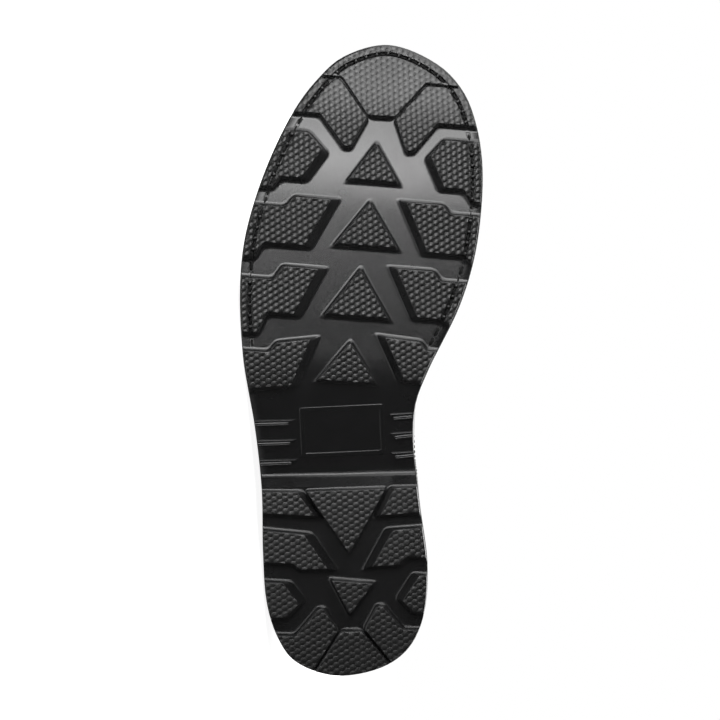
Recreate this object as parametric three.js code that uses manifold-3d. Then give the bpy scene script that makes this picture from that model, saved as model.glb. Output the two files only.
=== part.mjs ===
// A right-foot, six-inch, lace-up steel toe work boot, lying on its lateral side.
// The boot is worked out standing: X towards the little toe, Y from heel to toe, Z up, the
// tread's flat spots on Z = 0. The last lines lay it down on the side that it comes to rest on.
import * as THREE from "three";
import { mergeVertices } from "three/addons/utils/BufferGeometryUtils.js";
import { ConvexHull } from "three/addons/math/ConvexHull.js";
import Module from "manifold-3d";

const wasm = await Module();
wasm.setup();

// Driving dimensions, in millimetres.
const soleLength = 310;
const ballWidth = 115;
const heelTop = 27; // outsole's upper face above the ground, at the heel
const ballTop = 11; // and at the ball
const toeSpring = 11;
const lugDepth = 4.4;
const ballRise = 3.5; // how far the tread has risen behind the ball's last row of lugs
const shankThickness = 9;
const heelSeatInset = 0.6; // step from the outsole's side in to the heel and the lugs
const sideGrooveDepth = 1.2;
const sideGrooveHeight = 1.6;
const sideGrooveDrop = 2.6; // groove's upper edge below the outsole's upper face
const shankRibHeight = 1.2;
const badgeLip = 0.7;
const weltThickness = 3.2;
const weltInset = 0.8;
const weltReveal = 7.4; // welt showing outside the upper, at the forefoot
const heelReveal = 5; // and at the heel
const insoleThickness = 4.5;
const insoleGap = 3.4; // between it and the upper's wall
const leather = 2.2;
const quarterStep = 1.2; // the quarters lie over the vamp
const overlayThickness = 1.6;
const collarPadding = 2.2;
const collarDepth = 24;
const collarBack = 166; // the collar's height above the ground, at the back
const collarFront = 178; // and beside the laces
const toeBoxHeight = 57; // outside height of the toe box above the welt
const tongueThickness = 3.4;
const tongueLap = 11; // how far the tongue reaches under each eyestay
const tongueRise = 16; // how far it stands over the collar
const throatHalf = 11; // half the gap between the eyestays, at the first eyelets
const throatFlare = 6; // what it gains up to the collar
const eyestayWidth = 17;
const eyeletPairs = 6;
const eyeletRadius = 4.6;
const eyeletHole = 2.4;
const eyeletThickness = 1.2;
const laceRadius = 1.9;
const laceFlats = 5;
const clearance = 0.3;

const heelStations = 8;
const toeStations = 10;
const middleStations = 14;

const clamp01 = (x) => Math.min(1, Math.max(0, x));
const mix = (a, b, t) => a + (b - a) * t;
const ease = (from, to, x) => {
  const t = clamp01((x - from) / (to - from));
  return t * t * (3 - 2 * t);
};

// A smooth value of one column of a table at a place along its first column.
function follow(rows, key, column, place) {
  const last = rows.length - 1;
  const p = Math.min(rows[last][key], Math.max(rows[0][key], place));
  let i = 0;
  while (i < last - 1 && rows[i + 1][key] < p) i++;
  const slope = (a, b) => (rows[b][column] - rows[a][column]) / (rows[b][key] - rows[a][key]);
  const step = rows[i + 1][key] - rows[i][key];
  const t = (p - rows[i][key]) / step;
  const here = slope(i, i + 1);
  const before = i > 0 ? (slope(i - 1, i) + here) / 2 : here;
  const after = i < last - 1 ? (slope(i + 1, i + 2) + here) / 2 : here;
  const [t2, t3] = [t * t, t * t * t];
  return (
    rows[i][column] * (2 * t3 - 3 * t2 + 1) +
    before * step * (t3 - 2 * t2 + t) +
    rows[i + 1][column] * (3 * t2 - 2 * t3) +
    after * step * (t3 - t2)
  );
}

// The sole's outline: places as shares of its length, half widths as shares of the ball width.
const outlineRows = [
  { at: 0.019, lateral: 0.191, medial: 0.191 },
  { at: 0.052, lateral: 0.266, medial: 0.296 },
  { at: 0.103, lateral: 0.324, medial: 0.349 },
  { at: 0.181, lateral: 0.357, medial: 0.35 },
  { at: 0.284, lateral: 0.384, medial: 0.293 },
  { at: 0.387, lateral: 0.436, medial: 0.242 },
  { at: 0.439, lateral: 0.472, medial: 0.243 },
  { at: 0.49, lateral: 0.504, medial: 0.283 },
  { at: 0.594, lateral: 0.539, medial: 0.394 },
  { at: 0.671, lateral: 0.537, medial: 0.441 },
  { at: 0.748, lateral: 0.499, medial: 0.455 },
  { at: 0.826, lateral: 0.435, medial: 0.443 },
  { at: 0.89, lateral: 0.361, medial: 0.4 },
  { at: 0.935, lateral: 0.284, medial: 0.339 },
  { at: 0.974, lateral: 0.185, medial: 0.226 },
];
const heelTip = 0.013;
const toeTip = -0.007;

const outlineCurve = new THREE.CatmullRomCurve3(
  [
    new THREE.Vector3(heelTip * ballWidth, 0, 0),
    ...outlineRows.map((r) => new THREE.Vector3(r.lateral * ballWidth, r.at * soleLength, 0)),
    new THREE.Vector3(toeTip * ballWidth, soleLength, 0),
    ...outlineRows.toReversed().map((r) => new THREE.Vector3(-r.medial * ballWidth, r.at * soleLength, 0)),
  ],
  true,
  "centripetal",
);
const outlineSamples = outlineCurve.getPoints(900);
const sideSamples = (side) => {
  const heel = outlineSamples.reduce((a, b) => (b.y < a.y ? b : a));
  const toe = outlineSamples.reduce((a, b) => (b.y > a.y ? b : a));
  const split = (p) => mix(heel.x, toe.x, (p.y - heel.y) / (toe.y - heel.y));
  return outlineSamples.filter((p) => side * (p.x - split(p)) >= 0).sort((a, b) => a.y - b.y);
};
const lateralSamples = sideSamples(1);
const medialSamples = sideSamples(-1);

// Where a side of the outline is at a height along the sole.
function edgeAt(samples, y) {
  if (y <= samples[0].y) return samples[0].x;
  for (let i = 1; i < samples.length; i++)
    if (samples[i].y >= y)
      return mix(
        samples[i - 1].x,
        samples[i].x,
        (y - samples[i - 1].y) / (samples[i].y - samples[i - 1].y || 1),
      );
  return samples[samples.length - 1].x;
}

// Stations from heel to toe, close together where the ends turn round.
const heelRound = 0.16 * soleLength;
const toeRound = 0.2 * soleLength;
const stations = [];
for (let i = 0; i < heelStations; i++)
  stations.push(heelRound * (1 - Math.cos(((i / heelStations) * Math.PI) / 2)));
for (let i = 0; i < middleStations; i++)
  stations.push(mix(heelRound, soleLength - toeRound, i / middleStations));
for (let i = 0; i <= toeStations; i++)
  stations.push(soleLength - toeRound * (1 - Math.sin(((i / toeStations) * Math.PI) / 2)));

// A ring runs up the lateral side from the heel and back down the medial side.
const tips = stations.length - 1;
const ringLength = 2 * tips;
const soleRing = [];
const addToRing = (samples, y) => soleRing.push(new THREE.Vector2(edgeAt(samples, y), y));
for (let i = 0; i <= tips; i++) addToRing(lateralSamples, stations[i]);
for (let i = tips - 1; i > 0; i--) addToRing(medialSamples, stations[i]);

// The ring moved inwards by a distance, or by one that depends on the place.
function inset(ring, distance) {
  return ring.map((p, i) => {
    const a = ring[(i + ring.length - 1) % ring.length];
    const b = ring[(i + 1) % ring.length];
    const d = typeof distance === "function" ? distance(p.y) : distance;
    const along = new THREE.Vector2().subVectors(b, a).normalize();
    return new THREE.Vector2(p.x - along.y * d, p.y + along.x * d);
  });
}

// Heights along the sole.
const springUp = (y) => toeSpring * clamp01((y / soleLength - 0.73) / 0.27) ** 2;
const soleTopUp = (y) => mix(heelTop, ballTop, ease(0.16, 0.6, y / soleLength)) + springUp(y);
const ballRock = (y) => ballRise * clamp01((0.54 - y / soleLength) / 0.11) ** 2;
const treadUp = (y) => (y < 0.36 * soleLength ? 0 : ballRock(y) + springUp(y));
const slabUnderUp = (y) =>
  Math.max(
    mix(soleTopUp(y) - shankThickness, lugDepth + springUp(y), ease(0.4, 0.56, y / soleLength)),
    lugDepth,
  );

// Closed solids from a grid of points and from meshes.
function solidOf(geometry) {
  const bare = new THREE.BufferGeometry();
  const flat = geometry.index ? geometry.toNonIndexed() : geometry;
  bare.setAttribute("position", flat.getAttribute("position"));
  const merged = mergeVertices(bare, 1e-3);
  const index = merged.index.array;
  const kept = [];
  for (let i = 0; i < index.length; i += 3) {
    const [a, b, c] = [index[i], index[i + 1], index[i + 2]];
    if (a !== b && b !== c && c !== a) kept.push(a, b, c);
  }
  return new wasm.Manifold(
    new wasm.Mesh({
      numProp: 3,
      vertProperties: new Float32Array(merged.attributes.position.array),
      triVerts: new Uint32Array(kept),
    }),
  );
}

function solidOfFaces(points, faces) {
  const position = new Float32Array(faces.length * 9);
  faces.flat().forEach((corner, i) => points[corner].toArray(position, i * 3));
  const geometry = new THREE.BufferGeometry();
  geometry.setAttribute("position", new THREE.BufferAttribute(position, 3));
  return solidOf(geometry);
}

function geometryOf(solid) {
  const mesh = solid.getMesh();
  const position = new Float32Array(mesh.numVert * 3);
  for (let i = 0; i < mesh.numVert; i++)
    position.set(mesh.vertProperties.subarray(i * mesh.numProp, i * mesh.numProp + 3), i * 3);
  const geometry = new THREE.BufferGeometry();
  geometry.setAttribute("position", new THREE.BufferAttribute(position, 3));
  geometry.setIndex(new THREE.BufferAttribute(new Uint32Array(mesh.triVerts), 1));
  return geometry;
}

// A plate with the sole's stations: rings from the bottom up, each with its own height law.
function plateSolid(levels) {
  const points = [];
  for (const { ring, up } of levels)
    for (const p of ring) points.push(new THREE.Vector3(p.x, p.y, up(p.y)));
  const faces = [];
  const quad = (a, b, c, d) => faces.push([a, b, c], [a, c, d]);
  for (let k = 0; k < levels.length - 1; k++)
    for (let i = 0; i < ringLength; i++) {
      const j = (i + 1) % ringLength;
      quad(k * ringLength + i, k * ringLength + j, (k + 1) * ringLength + j, (k + 1) * ringLength + i);
    }
  const top = (levels.length - 1) * ringLength;
  const medial = (i) => (ringLength - i) % ringLength;
  for (let i = 0; i < tips; i++) {
    quad(medial(i), medial(i + 1), i + 1, i);
    quad(top + i, top + i + 1, top + medial(i + 1), top + medial(i));
  }
  return solidOfFaces(points, faces);
}

// A loft upwards through rings of as many points, closed at both ends.
function loftSolid(levels) {
  const flatRing = (ring) => ring.map((p) => new THREE.Vector2(p.x, p.y));
  const clockwise = THREE.ShapeUtils.isClockWise(flatRing(levels[levels.length - 1]));
  const rings = clockwise ? levels.map((ring) => ring.toReversed()) : levels;
  const n = rings[0].length;
  const faces = [];
  for (let k = 0; k < rings.length - 1; k++)
    for (let i = 0; i < n; i++) {
      const j = (i + 1) % n;
      const [a, b, c, d] = [k * n + i, k * n + j, (k + 1) * n + j, (k + 1) * n + i];
      faces.push([a, b, c], [a, c, d]);
    }
  const top = (rings.length - 1) * n;
  const cap = THREE.ShapeUtils.triangulateShape(flatRing(rings[rings.length - 1]), []);
  for (const [a, b, c] of cap) faces.push([c, b, a], [top + a, top + b, top + c]);
  return solidOfFaces(rings.flat(), faces);
}

// A loft of four-cornered sections.
function barSolid(sections) {
  const n = 4;
  const faces = [];
  const quad = (a, b, c, d) => faces.push([a, b, c], [a, c, d]);
  for (let k = 0; k < sections.length - 1; k++)
    for (let i = 0; i < n; i++) {
      const j = (i + 1) % n;
      quad(k * n + i, k * n + j, (k + 1) * n + j, (k + 1) * n + i);
    }
  const top = (sections.length - 1) * n;
  quad(3, 2, 1, 0);
  quad(top, top + 1, top + 2, top + 3);
  const made = solidOfFaces(sections.flat(), faces);
  if (made.volume() > 0) return made;
  return solidOfFaces(sections.flat(), faces.map(([a, b, c]) => [a, c, b]));
}

// A prism across the boot from an outline of [along, up] corners.
function sidePrism(corners, halfWidth) {
  const shape = new THREE.Shape(corners.map(([along, up]) => new THREE.Vector2(along, up)));
  const geometry = new THREE.ExtrudeGeometry(shape, { depth: 2 * halfWidth, bevelEnabled: false });
  geometry.translate(0, 0, -halfWidth);
  const turn = new THREE.Matrix4().makeBasis(
    new THREE.Vector3(0, 1, 0),
    new THREE.Vector3(0, 0, 1),
    new THREE.Vector3(1, 0, 0),
  );
  return solidOf(geometry.applyMatrix4(turn));
}

const joined = (solids) => solids.reduce((a, b) => a.add(b));

// The tread. Each lug's foot is a list of [along, across] corners, as shares of the sole's
// length and the ball width, lateral positive; `ramp` is the side with a long slope.
const beyond = 0.62; // across, outside the outline on either side
const steepDraft = 1.1;
const rampDraft = 4.2;
const grooveDraft = 0.5;

// A side lug: its outer part is set back by a step, and its inner side slopes.
const sideLugs = [
  {
    side: 1, front: 0.75, frontOut: 0.733, frontStep: 0.36, tip: 0.14,
    heel: 0.25, back: 0.665, backOut: 0.641, backStep: 0.468,
  },
  {
    side: 1, front: 0.64, frontOut: 0.618, frontStep: 0.387, tip: 0.172,
    heel: 0.274, back: 0.556, backOut: 0.523, backStep: 0.428,
  },
  {
    side: -1, front: 0.755, frontOut: 0.741, frontStep: 0.311, tip: 0.094,
    heel: 0.213, back: 0.669, backOut: 0.657, backStep: 0.411,
  },
  {
    side: -1, front: 0.65, frontOut: 0.635, frontStep: 0.293, tip: 0.073,
    heel: 0.192, back: 0.566, backOut: 0.56, backStep: 0.33,
  },
];
const stepRun = 0.017; // half the length of each step's slanted side, across
const sideLugFoot = (l) =>
  [
    [l.frontOut, beyond],
    [l.frontOut, l.frontStep + stepRun],
    [l.front, l.frontStep - stepRun],
    [l.front, l.tip],
    [l.back, l.heel],
    [l.back, l.backStep - stepRun],
    [l.backOut, l.backStep + stepRun],
    [l.backOut, beyond],
  ].map(([along, across]) => [along, l.side * across]);

// A pointed lug: the inner end comes to a point between two slanted sides.
const pointedLugs = [
  {
    side: 1, front: 0.853, frontEnd: 0.298, tipAt: 0.819, tip: 0.205,
    back: 0.77, backEnd: 0.289, backOut: 0.753, backStep: 0.416,
  },
  {
    side: -1, front: 0.857, frontEnd: 0.272, tipAt: 0.821, tip: 0.194,
    back: 0.772, backEnd: 0.264, backOut: 0.754, backStep: 0.39,
  },
];
const pointedLugFoot = (l) =>
  [
    [l.front, beyond],
    [l.front, l.frontEnd],
    [l.tipAt, l.tip],
    [l.back, l.backEnd],
    [l.back, l.backStep - stepRun],
    [l.backOut, l.backStep + stepRun],
    [l.backOut, beyond],
  ].map(([along, across]) => [along, l.side * across]);

// A three-cornered lug on the middle line, with its point towards the toe or the heel.
const middleLugs = [
  { point: 0.845, centre: 0.011, base: 0.775, half: 0.125 },
  { point: 0.753, centre: 0.019, base: 0.672, half: 0.153 },
  { point: 0.647, centre: 0.036, base: 0.561, half: 0.155 },
  { point: 0.531, centre: 0.054, base: 0.457, half: 0.15 },
  { point: 0.092, centre: -0.034, base: 0.155, half: 0.108 },
];
const middleLugFoot = (l) => [
  [l.point, l.centre],
  [l.base, l.centre - l.half],
  [l.base, l.centre + l.half],
];

// Lugs that follow no rule of the ones above.
const otherLugs = [
  // Behind the ball.
  {
    foot: [
      [0.502, beyond], [0.504, 0.398], [0.519, 0.372], [0.532, 0.183],
      [0.446, 0.258], [0.425, beyond],
    ],
    ramp: 3,
  },
  {
    foot: [
      [0.526, -beyond], [0.525, -0.274], [0.538, -0.246], [0.542, -0.045],
      [0.466, -0.159], [0.46, -beyond],
    ],
    ramp: 3,
  },
  // Round the toe, split by two narrow grooves.
  {
    foot: [
      [0.874, beyond], [0.874, 0.264], [0.825, 0.151], [0.826, 0.113],
      [0.877, 0.05], [0.938, 0.182], [0.938, beyond],
    ],
    ramp: -1,
  },
  {
    foot: [
      [0.941, beyond], [0.941, 0.18], [0.877, 0.046], [0.878, -0.05],
      [0.941, -0.18], [0.941, -beyond], [1.02, -beyond], [1.02, beyond],
    ],
    ramp: -1,
  },
  {
    foot: [
      [0.873, -beyond], [0.873, -0.243], [0.826, -0.151], [0.825, -0.113],
      [0.878, -0.054], [0.938, -0.182], [0.938, -beyond],
    ],
    ramp: -1,
  },
  // Behind the heel breast: two wings and a point.
  { foot: [[0.276, beyond], [0.288, 0.206], [0.243, 0.102], [0.239, beyond]], ramp: -1 },
  { foot: [[0.289, 0.2], [0.304, -0.15], [0.192, -0.013]], ramp: -1 },
  { foot: [[0.305, -0.156], [0.323, -beyond], [0.28, -beyond], [0.25, -0.096]], ramp: -1 },
  // The heel's second row.
  {
    foot: [
      [0.226, beyond], [0.223, 0.151], [0.164, 0.02], [0.157, 0.197],
      [0.166, 0.228], [0.161, beyond],
    ],
    ramp: 1,
  },
  {
    foot: [
      [0.267, -beyond], [0.239, -0.152], [0.168, -0.065], [0.178, -0.236],
      [0.191, -0.264], [0.196, -beyond],
    ],
    ramp: 1,
  },
  // Its third row.
  { foot: [[0.141, beyond], [0.145, 0.224], [0.116, 0.15], [0.081, 0.223], [0.068, beyond]], ramp: 1 },
  { foot: [[0.178, -beyond], [0.173, -0.281], [0.13, -0.217], [0.105, -0.291], [0.103, -beyond]], ramp: 1 },
  // Round the back, split by two narrow grooves.
  {
    foot: [
      [0.056, beyond], [0.063, 0.194], [0.108, 0.106], [0.109, 0.072],
      [0.076, 0.002], [-0.02, 0.139], [-0.02, beyond],
    ],
    ramp: -1,
  },
  { foot: [[0.076, -0.004], [0.079, -0.086], [-0.02, -0.345], [-0.02, 0.133]], ramp: -1 },
  {
    foot: [
      [0.093, -beyond], [0.087, -0.269], [0.121, -0.177], [0.12, -0.139],
      [0.08, -0.092], [-0.02, -0.351], [-0.02, -beyond],
    ],
    ramp: -1,
  },
];

// A closed outline of corners with each side moved out by its own distance.
function offsetCorners(corners, distances) {
  const n = corners.length;
  const area = corners.reduce((sum, p, i) => sum + p.cross(corners[(i + 1) % n]), 0);
  const sense = Math.sign(area);
  const sides = corners.map((p, i) => {
    const direction = corners[(i + 1) % n].clone().sub(p).normalize();
    const normal = new THREE.Vector2(direction.y, -direction.x).multiplyScalar(sense * distances[i]);
    return { from: p.clone().add(normal), direction };
  });
  return sides.map((side, i) => {
    const before = sides[(i + n - 1) % n];
    const bend = before.direction.cross(side.direction);
    const reach = side.from.clone().sub(before.from).cross(side.direction) / bend;
    return before.from.clone().addScaledVector(before.direction, reach);
  });
}

const lugBury = 1.6; // how far a lug's foot goes up into the sole
const lugOverrun = 0.6; // how far it is made past the tread, before the tread trims it

function lugSolid({ foot, ramp, draft = steepDraft }, underUp) {
  const corners = foot.map(([along, across]) => new THREE.Vector2(across * ballWidth, along * soleLength));
  const drafts = corners.map((_, i) => (i === ramp ? rampDraft : draft));
  const grown = (share) => offsetCorners(corners, drafts.map((d) => d * share));
  const head = grown(-(lugDepth + lugOverrun) / lugDepth);
  const root = grown(lugBury / lugDepth);
  return loftSolid([
    head.map((p) => new THREE.Vector3(p.x, p.y, treadUp(p.y) - lugOverrun)),
    root.map((p) => new THREE.Vector3(p.x, p.y, underUp(p.y) + lugBury)),
  ]);
}

function heelBlock() {
  const breastFoot = 0.296 * soleLength;
  const breastTop = 0.318 * soleLength;
  const behind = -0.1 * soleLength;
  const breastSkew = THREE.MathUtils.degToRad(-6.8);
  const under = soleTopUp(breastTop) - shankThickness;
  const cheeks = [
    [behind, 0],
    [breastFoot, 0],
    [breastTop, under + 1],
    [breastTop, heelTop],
    [behind, heelTop],
  ];
  const shape = sidePrism(cheeks, ballWidth).rotate([0, 0, THREE.MathUtils.radToDeg(breastSkew)]);
  return shape.intersect(
    plateSolid([
      { ring: inset(soleRing, heelSeatInset), up: () => lugDepth },
      { ring: inset(soleRing, heelSeatInset), up: (y) => soleTopUp(y) - 4 },
    ]),
  );
}

// Three bars on each side of the shank, and a plain raised frame between them.
function shankRibs() {
  const rows = [
    { side: 1, at: 0.395, inner: 0.27, lean: -0.006 },
    { side: 1, at: 0.364, inner: 0.258, lean: -0.006 },
    { side: 1, at: 0.333, inner: 0.245, lean: -0.006 },
    { side: -1, at: 0.418, inner: 0.152, lean: 0.005 },
    { side: -1, at: 0.387, inner: 0.16, lean: 0.005 },
    { side: -1, at: 0.356, inner: 0.167, lean: 0.005 },
  ];
  const halfBar = 2;
  return rows.map(({ side, at, inner, lean }) => {
    const y = at * soleLength;
    const slant = lean * soleLength;
    const x0 = side * inner * ballWidth;
    const x1 = side * beyond * ballWidth;
    const end = side * halfBar;
    const foot = [
      [x0, y + halfBar],
      [x0 + 2 * end, y - halfBar],
      [x1, y - halfBar + slant],
      [x1, y + halfBar + slant],
    ].map(([x, along]) => new THREE.Vector2(x, along));
    const head = offsetCorners(foot, [-0.6, -0.6, -0.6, -0.6]);
    return loftSolid([
      head.map((p) => new THREE.Vector3(p.x, p.y, slabUnderUp(p.y) - shankRibHeight)),
      foot.map((p) => new THREE.Vector3(p.x, p.y, slabUnderUp(p.y) + lugBury)),
    ]);
  });
}

function badgeFrame() {
  const box = (along0, along1, across0, across1, lip) =>
    loftSolid(
      [-lip, lugBury].map((drop) =>
        [
          [across0, along0],
          [across1, along0],
          [across1, along1],
          [across0, along1],
        ].map(([across, along]) => {
          const y = along * soleLength;
          return new THREE.Vector3(across * ballWidth, y, slabUnderUp(y) + drop);
        }),
      ),
    );
  const frame = box(0.351, 0.432, -0.122, 0.222, badgeLip);
  const rim = 0.01;
  const hole = box(0.351 + rim, 0.432 - rim, -0.122 + 2 * rim, 0.222 - 2 * rim, 3 * badgeLip);
  return frame.subtract(hole.subtract(badgeFloor()));
}

// What the badge's opening keeps: everything above the shank's face.
function badgeFloor() {
  const ring = inset(soleRing, heelSeatInset);
  return plateSolid([
    { ring, up: slabUnderUp },
    { ring, up: soleTopUp },
  ]);
}

function outsoleSolid() {
  const side = inset(soleRing, 0);
  const groove = inset(soleRing, sideGrooveDepth);
  const below = (drop) => (y) => soleTopUp(y) - drop;
  const grooveFoot = sideGrooveDrop + sideGrooveHeight;
  const slab = plateSolid([
    { ring: side, up: slabUnderUp },
    { ring: side, up: below(grooveFoot + sideGrooveDepth / 2) },
    { ring: groove, up: below(sideGrooveDrop + sideGrooveHeight / 2) },
    { ring: side, up: below(sideGrooveDrop - sideGrooveDepth / 2) },
    { ring: side, up: soleTopUp },
  ]);
  const trim = inset(soleRing, heelSeatInset);
  const envelope = plateSolid([
    { ring: trim, up: treadUp },
    { ring: trim, up: (y) => soleTopUp(y) - 2 },
  ]);
  const foreLugs = [
    ...sideLugs.map((l) => ({ foot: sideLugFoot(l), ramp: 3 })),
    ...pointedLugs.map((l) => ({ foot: pointedLugFoot(l), ramp: 2 })),
    ...middleLugs.map((l) => ({ foot: middleLugFoot(l), ramp: -1 })),
    ...otherLugs.map((l) => ({ ...l, draft: l.ramp < 0 ? grooveDraft : steepDraft })),
  ];
  const underUp = (y) => (y < 0.33 * soleLength ? lugDepth : slabUnderUp(y));
  const lugs = foreLugs.map((l) => lugSolid(l, underUp));
  const bars = shankRibs();
  return joined([slab, heelBlock(), badgeFrame(), joined([...lugs, ...bars]).intersect(envelope)]);
}

// The upper's form. Each section runs from its foot, on the sole or up the back, to its top on
// the ridge. Along is a share of the sole's length, up of the front collar's height, and the
// half widths, at the widest place, of the ball width.
const formRows = [
  {
    at: 0, foot: 0.826, top: 0.826, topUp: 0.388, lateral: 0.378,
    medial: 0.387, ridge: -0.004, widest: 0.3, square: 2.7,
  },
  {
    at: 1, foot: 0.748, top: 0.748, topUp: 0.397, lateral: 0.447,
    medial: 0.398, ridge: 0.008, widest: 0.27, square: 2.5,
  },
  {
    at: 2, foot: 0.671, top: 0.674, topUp: 0.437, lateral: 0.484,
    medial: 0.376, ridge: 0.02, widest: 0.25, square: 2.3,
  },
  {
    at: 3, foot: 0.594, top: 0.613, topUp: 0.508, lateral: 0.47,
    medial: 0.32, ridge: 0.032, widest: 0.25, square: 2.2,
  },
  {
    at: 4, foot: 0.516, top: 0.563, topUp: 0.576, lateral: 0.44,
    medial: 0.262, ridge: 0.038, widest: 0.26, square: 2.15,
  },
  {
    at: 5, foot: 0.426, top: 0.519, topUp: 0.65, lateral: 0.4,
    medial: 0.24, ridge: 0.034, widest: 0.28, square: 2.1,
  },
  {
    at: 6, foot: 0.323, top: 0.484, topUp: 0.721, lateral: 0.356,
    medial: 0.246, ridge: 0.022, widest: 0.31, square: 2.1,
  },
  {
    at: 7, foot: 0.219, top: 0.461, topUp: 0.781, lateral: 0.332,
    medial: 0.262, ridge: 0.012, widest: 0.35, square: 2.1,
  },
  {
    at: 8, foot: 0.116, top: 0.445, topUp: 0.831, lateral: 0.322,
    medial: 0.28, ridge: 0.004, widest: 0.39, square: 2.1,
  },
  {
    at: 9, foot: 0.045, top: 0.436, topUp: 0.867, lateral: 0.316,
    medial: 0.294, ridge: 0.002, widest: 0.43, square: 2.1,
  },
  {
    at: 10, foot: 0.0, top: 0.43, topUp: 0.9, lateral: 0.313,
    medial: 0.302, ridge: 0, widest: 0.46, square: 2.1,
  },
];
const shaftRows = [
  { at: 10, back: 0.0103, backUp: 0.152, top: 0.43, topUp: 0.9, lateral: 0.313, medial: 0.302 },
  { at: 11, back: 0.003, backUp: 0.25, top: 0.425, topUp: 0.931, lateral: 0.312, medial: 0.298 },
  { at: 12, back: 0.004, backUp: 0.37, top: 0.421, topUp: 0.963, lateral: 0.312, medial: 0.292 },
  { at: 13, back: 0.021, backUp: 0.517, top: 0.418, topUp: 0.997, lateral: 0.314, medial: 0.286 },
  { at: 14, back: 0.037, backUp: 0.663, top: 0.416, topUp: 1.034, lateral: 0.32, medial: 0.28 },
  { at: 15, back: 0.043, backUp: 0.815, top: 0.415, topUp: 1.076, lateral: 0.328, medial: 0.276 },
  { at: 16, back: 0.04, backUp: 0.966, top: 0.413, topUp: 1.124, lateral: 0.335, medial: 0.275 },
  { at: 17, back: 0.035, backUp: 1.1, top: 0.412, topUp: 1.18, lateral: 0.34, medial: 0.275 },
];
const turnAt = 8; // from this section the feet close in on the heel's corner
const cornerAt = 10; // the section whose foot is at that corner
const lastAt = 17;
const toeAt = -1; // the toe's tip
const reveal = (y) => mix(heelReveal, weltReveal, ease(0.25, 0.62, y / soleLength));
const featherRing = inset(soleRing, reveal);
const featherSide = (side) =>
  featherRing
    .filter((_, i) => (side > 0 ? i <= tips : i === 0 || i >= tips))
    .sort((a, b) => a.y - b.y);
const featherLateral = featherSide(1);
const featherMedial = featherSide(-1);
const featherHeel = featherLateral[0];
const featherToe = featherLateral[featherLateral.length - 1];
const formStand = 0.55; // the upper's lower edge over the outsole

// The places and widths of one section.
function sectionAt(at) {
  if (at < 0) {
    const start = formRows[0].foot * soleLength;
    const q = 1 - (1 + at) ** 2;
    const y = mix(start, featherToe.y, Math.sin((q * Math.PI) / 2));
    const reach = (y - start) / (featherToe.y - start);
    const round = Math.max(0, 1 - reach ** 2.5) ** (1 / 2.5);
    const boxTop = toeBoxHeight * round;
    const centre = mix(formRows[0].ridge * ballWidth, featherToe.x, reach);
    const foot = soleTopUp(y) + formStand;
    const bulge = 1.6 * round;
    return {
      foot: [y, foot],
      top: [y, foot + boxTop],
      feather: [edgeAt(featherLateral, y), edgeAt(featherMedial, y)],
      widest: [edgeAt(featherLateral, y) + bulge, edgeAt(featherMedial, y) - bulge],
      ridge: centre,
      level: formRows[0].widest,
      square: mix(2.5, formRows[0].square, round),
      round: 0,
    };
  }
  const rows = at <= cornerAt ? formRows : shaftRows;
  const take = (column) => follow(rows, "at", column, at);
  const top = [take("top") * soleLength, take("topUp") * collarFront];
  const widest = [take("lateral") * ballWidth, -take("medial") * ballWidth];
  if (at > cornerAt) {
    const foot = [take("back") * soleLength, take("backUp") * collarFront];
    const feather = [featherHeel.x, featherHeel.x];
    return { foot, top, feather, widest, ridge: 0, level: 0.47, square: 2.1, round: 1 };
  }
  const y = footAlong(at);
  return {
    foot: [y, soleTopUp(y) + formStand],
    top,
    feather: [edgeAt(featherLateral, y), edgeAt(featherMedial, y)],
    widest,
    ridge: take("ridge") * ballWidth,
    level: take("widest"),
    square: take("square"),
    round: ease(6, cornerAt, at),
  };
}

// A section's foot on the sole: it closes in on the heel's corner as a circle does.
function footAlong(at) {
  if (at <= turnAt) return follow(formRows, "at", "foot", at) * soleLength;
  const start = formRows[turnAt].foot * soleLength;
  return mix(start, featherHeel.y, Math.sin((((at - turnAt) / (cornerAt - turnAt)) * Math.PI) / 2));
}

const lowSteps = 3;
const highSteps = 6;
const columns = 2 * (lowSteps + highSteps);

// One point of a section: column 0 is the lateral foot, the middle one the ridge.
function sectionPoint(s, column) {
  const side = column <= columns / 2 ? 0 : 1;
  const step = side ? columns - column : column;
  const [y0, z0] = s.foot;
  const [y1, z1] = s.top;
  let share;
  let x;
  if (step <= lowSteps) {
    const turn = ((step / lowSteps) * Math.PI) / 2;
    share = s.level * mix(step / lowSteps, 1 - Math.cos(turn), s.round);
    x = mix(s.feather[side], s.widest[side], Math.sin(turn));
  } else {
    const turn = (((step - lowSteps) / highSteps) * Math.PI) / 2;
    share = mix(s.level, 1, Math.sin(turn) ** (2 / s.square));
    x = mix(s.ridge, s.widest[side], Math.cos(turn) ** (2 / s.square));
  }
  return new THREE.Vector3(x, mix(y0, y1, share), mix(z0, z1, share));
}

const spread = (from, to, count) => Array.from({ length: count }, (_, i) => mix(from, to, i / count));
const formSections = [
  ...spread(toeAt, 0, 6),
  ...spread(0, turnAt, 9),
  ...spread(turnAt, cornerAt, 4),
  ...spread(cornerAt, lastAt, 6),
  lastAt,
];
const formGrid = formSections.map((at) => {
  const s = sectionAt(at);
  return Array.from({ length: columns + 1 }, (_, j) => sectionPoint(s, j));
});
const cornerRow = formSections.findIndex((at) => at >= cornerAt - 1e-6);

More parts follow.
